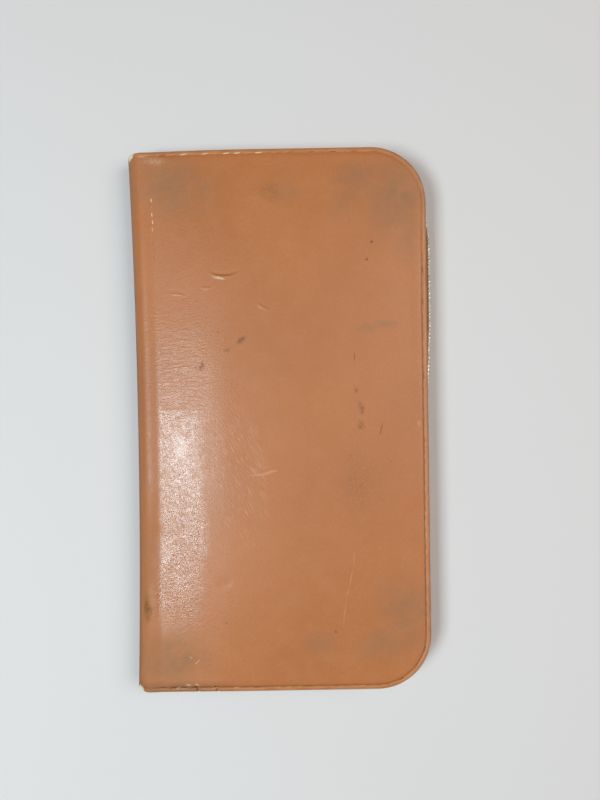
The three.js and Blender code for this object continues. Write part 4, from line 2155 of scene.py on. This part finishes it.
@dataclass(frozen=True)
class LightPanel:
    """A soft rectangular light: its place, what it faces, its size, power and warmth."""

    name: str
    place: tuple[float, float, float]
    aim: tuple[float, float, float]
    size: tuple[float, float]
    power: float
    colour: Colour = (1.0, 1.0, 1.0)


LIGHTS = (
    LightPanel("window", (-0.55, -0.19, 1.0), (-0.04, -0.19, 0), (0.52, 0.36), 9.3, (0.8, 0.99, 1.07)),
    LightPanel("ceiling", (0.3, 0.0, 1.6), (0, 0, 0), (1.6, 1.6), 4.2),
    LightPanel("fill", (0.95, 0.2, 1.25), (0, 0, 0), (0.9, 0.9), 9.8, (1.0, 0.97, 0.92)),
)


@dataclass
class Studio:
    """The pale floor, the soft lights and the camera that looks straight down."""

    form: CaseForm
    camera_distance: float = 313.4 * MM
    aim_x: float = 8.55 * MM
    aim_y: float = 10.3 * MM
    camera_turn: float = -0.95
    camera_tilt: float = -0.9
    view_length: float = 391 * MM
    sensor: float = 36.0
    floor_size: float = 6.0
    floor_drop: float = 0.1 * MM
    floor_colour: Colour = (0.71, 0.655, 0.638)
    floor_lumps: Lumps = Lumps(6, 2)
    floor_shade: float = 0.9
    floor_mottle: float = 0.06
    floor_roughness: float = 0.7
    floor_unevenness: float = 0.1
    floor_specular: float = 0.2
    sky_colour: Colour = (1.0, 1.0, 1.0)
    sky_strength: float = 0.13

    def floor(self) -> None:
        """Lays the floor."""
        bench = Bench("pale_floor")
        cloud = bench.grain(bench.place(), self.floor_lumps)
        shaded = tuple(self.floor_shade * part for part in self.floor_colour)
        colour = bench.mix(cloud * self.floor_mottle, self.floor_colour, shaded)
        roughness = self.floor_roughness + cloud * self.floor_unevenness
        material = bench.shade(colour, roughness, cloud, 0.0, {"Specular IOR Level": self.floor_specular})
        shape = bmesh.new()
        bmesh.ops.create_grid(shape, x_segments=1, y_segments=1, size=self.floor_size / 2)
        bmesh.ops.translate(shape, vec=(0, 0, -self.floor_drop), verts=shape.verts)
        floor = bpy.data.objects.new("floor", mesh_of("floor", shape))
        floor.data.materials.append(material)
        bpy.context.scene.collection.objects.link(floor)

    def light(self, panel: LightPanel) -> None:
        """Hangs one light.

        Args:
            panel: The light.
        """
        data = bpy.data.lights.new(panel.name, "AREA")
        data.shape = "RECTANGLE"
        data.size, data.size_y = panel.size
        data.energy = panel.power
        data.color = panel.colour
        lamp = bpy.data.objects.new(panel.name, data)
        lamp.location = panel.place
        facing = Vector(panel.aim) - Vector(panel.place)
        lamp.rotation_euler = facing.to_track_quat("-Z", "Y").to_euler()
        bpy.context.scene.collection.objects.link(lamp)

    def sky(self) -> None:
        """Sets the even light all round, and plain display colours."""
        world = bpy.data.worlds.new("studio")
        world.use_nodes = True
        background = world.node_tree.nodes["Background"]
        background.inputs["Color"].default_value = (*self.sky_colour, 1)
        background.inputs["Strength"].default_value = self.sky_strength
        bpy.context.scene.world = world
        bpy.context.scene.view_settings.view_transform = "Standard"

    def camera(self) -> None:
        """Hangs the camera over the case, as far off as a hand would hold it."""
        data = bpy.data.cameras.new("camera")
        data.sensor_fit = "AUTO"
        data.sensor_width = self.sensor
        data.lens = self.sensor * self.camera_distance / self.view_length
        data.dof.use_dof = False
        camera = bpy.data.objects.new("camera", data)
        camera.rotation_euler = (math.radians(self.camera_tilt), 0, math.radians(self.camera_turn))
        back = Vector((0, 0, self.camera_distance))
        back.rotate(camera.rotation_euler)
        camera.location = Vector((self.aim_x, self.aim_y, self.form.edge_depth)) + back
        bpy.context.scene.collection.objects.link(camera)
        bpy.context.scene.camera = camera

    def build(self) -> None:
        """Sets up the whole studio."""
        self.floor()
        self.sky()
        self.camera()
        for panel in LIGHTS:
            self.light(panel)


def main() -> None:
    """Builds the case piece by piece, then the studio."""
    logging.basicConfig(level=logging.INFO, format="%(name)s: %(message)s")
    form = CaseForm(*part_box("cover"))
    line = EdgeLine(form)
    cover = LeatherCover(form)
    cover.build(LeatherFinish(form).material())

    thread = ThreadFinish().material()
    stitching = Stitching(form, cover)
    for side in Side:
        stitching.build_edge(side, line, thread)
    stitching.build_spine_row(thread)

    cloth = TapeFinish().material()
    metal = MetalFinish("dull_white_metal").material()
    for side in Side:
        ZipTape(form, line).build(side, cloth)
        ZipTeeth(form, line).build(side, metal, ["zip_teeth"])
    ZipSlider(form, line).build(MetalFinish("slider_metal", roughness=0.28).material())

    Studio(form).build()


if __name__ == "__main__":
    main()
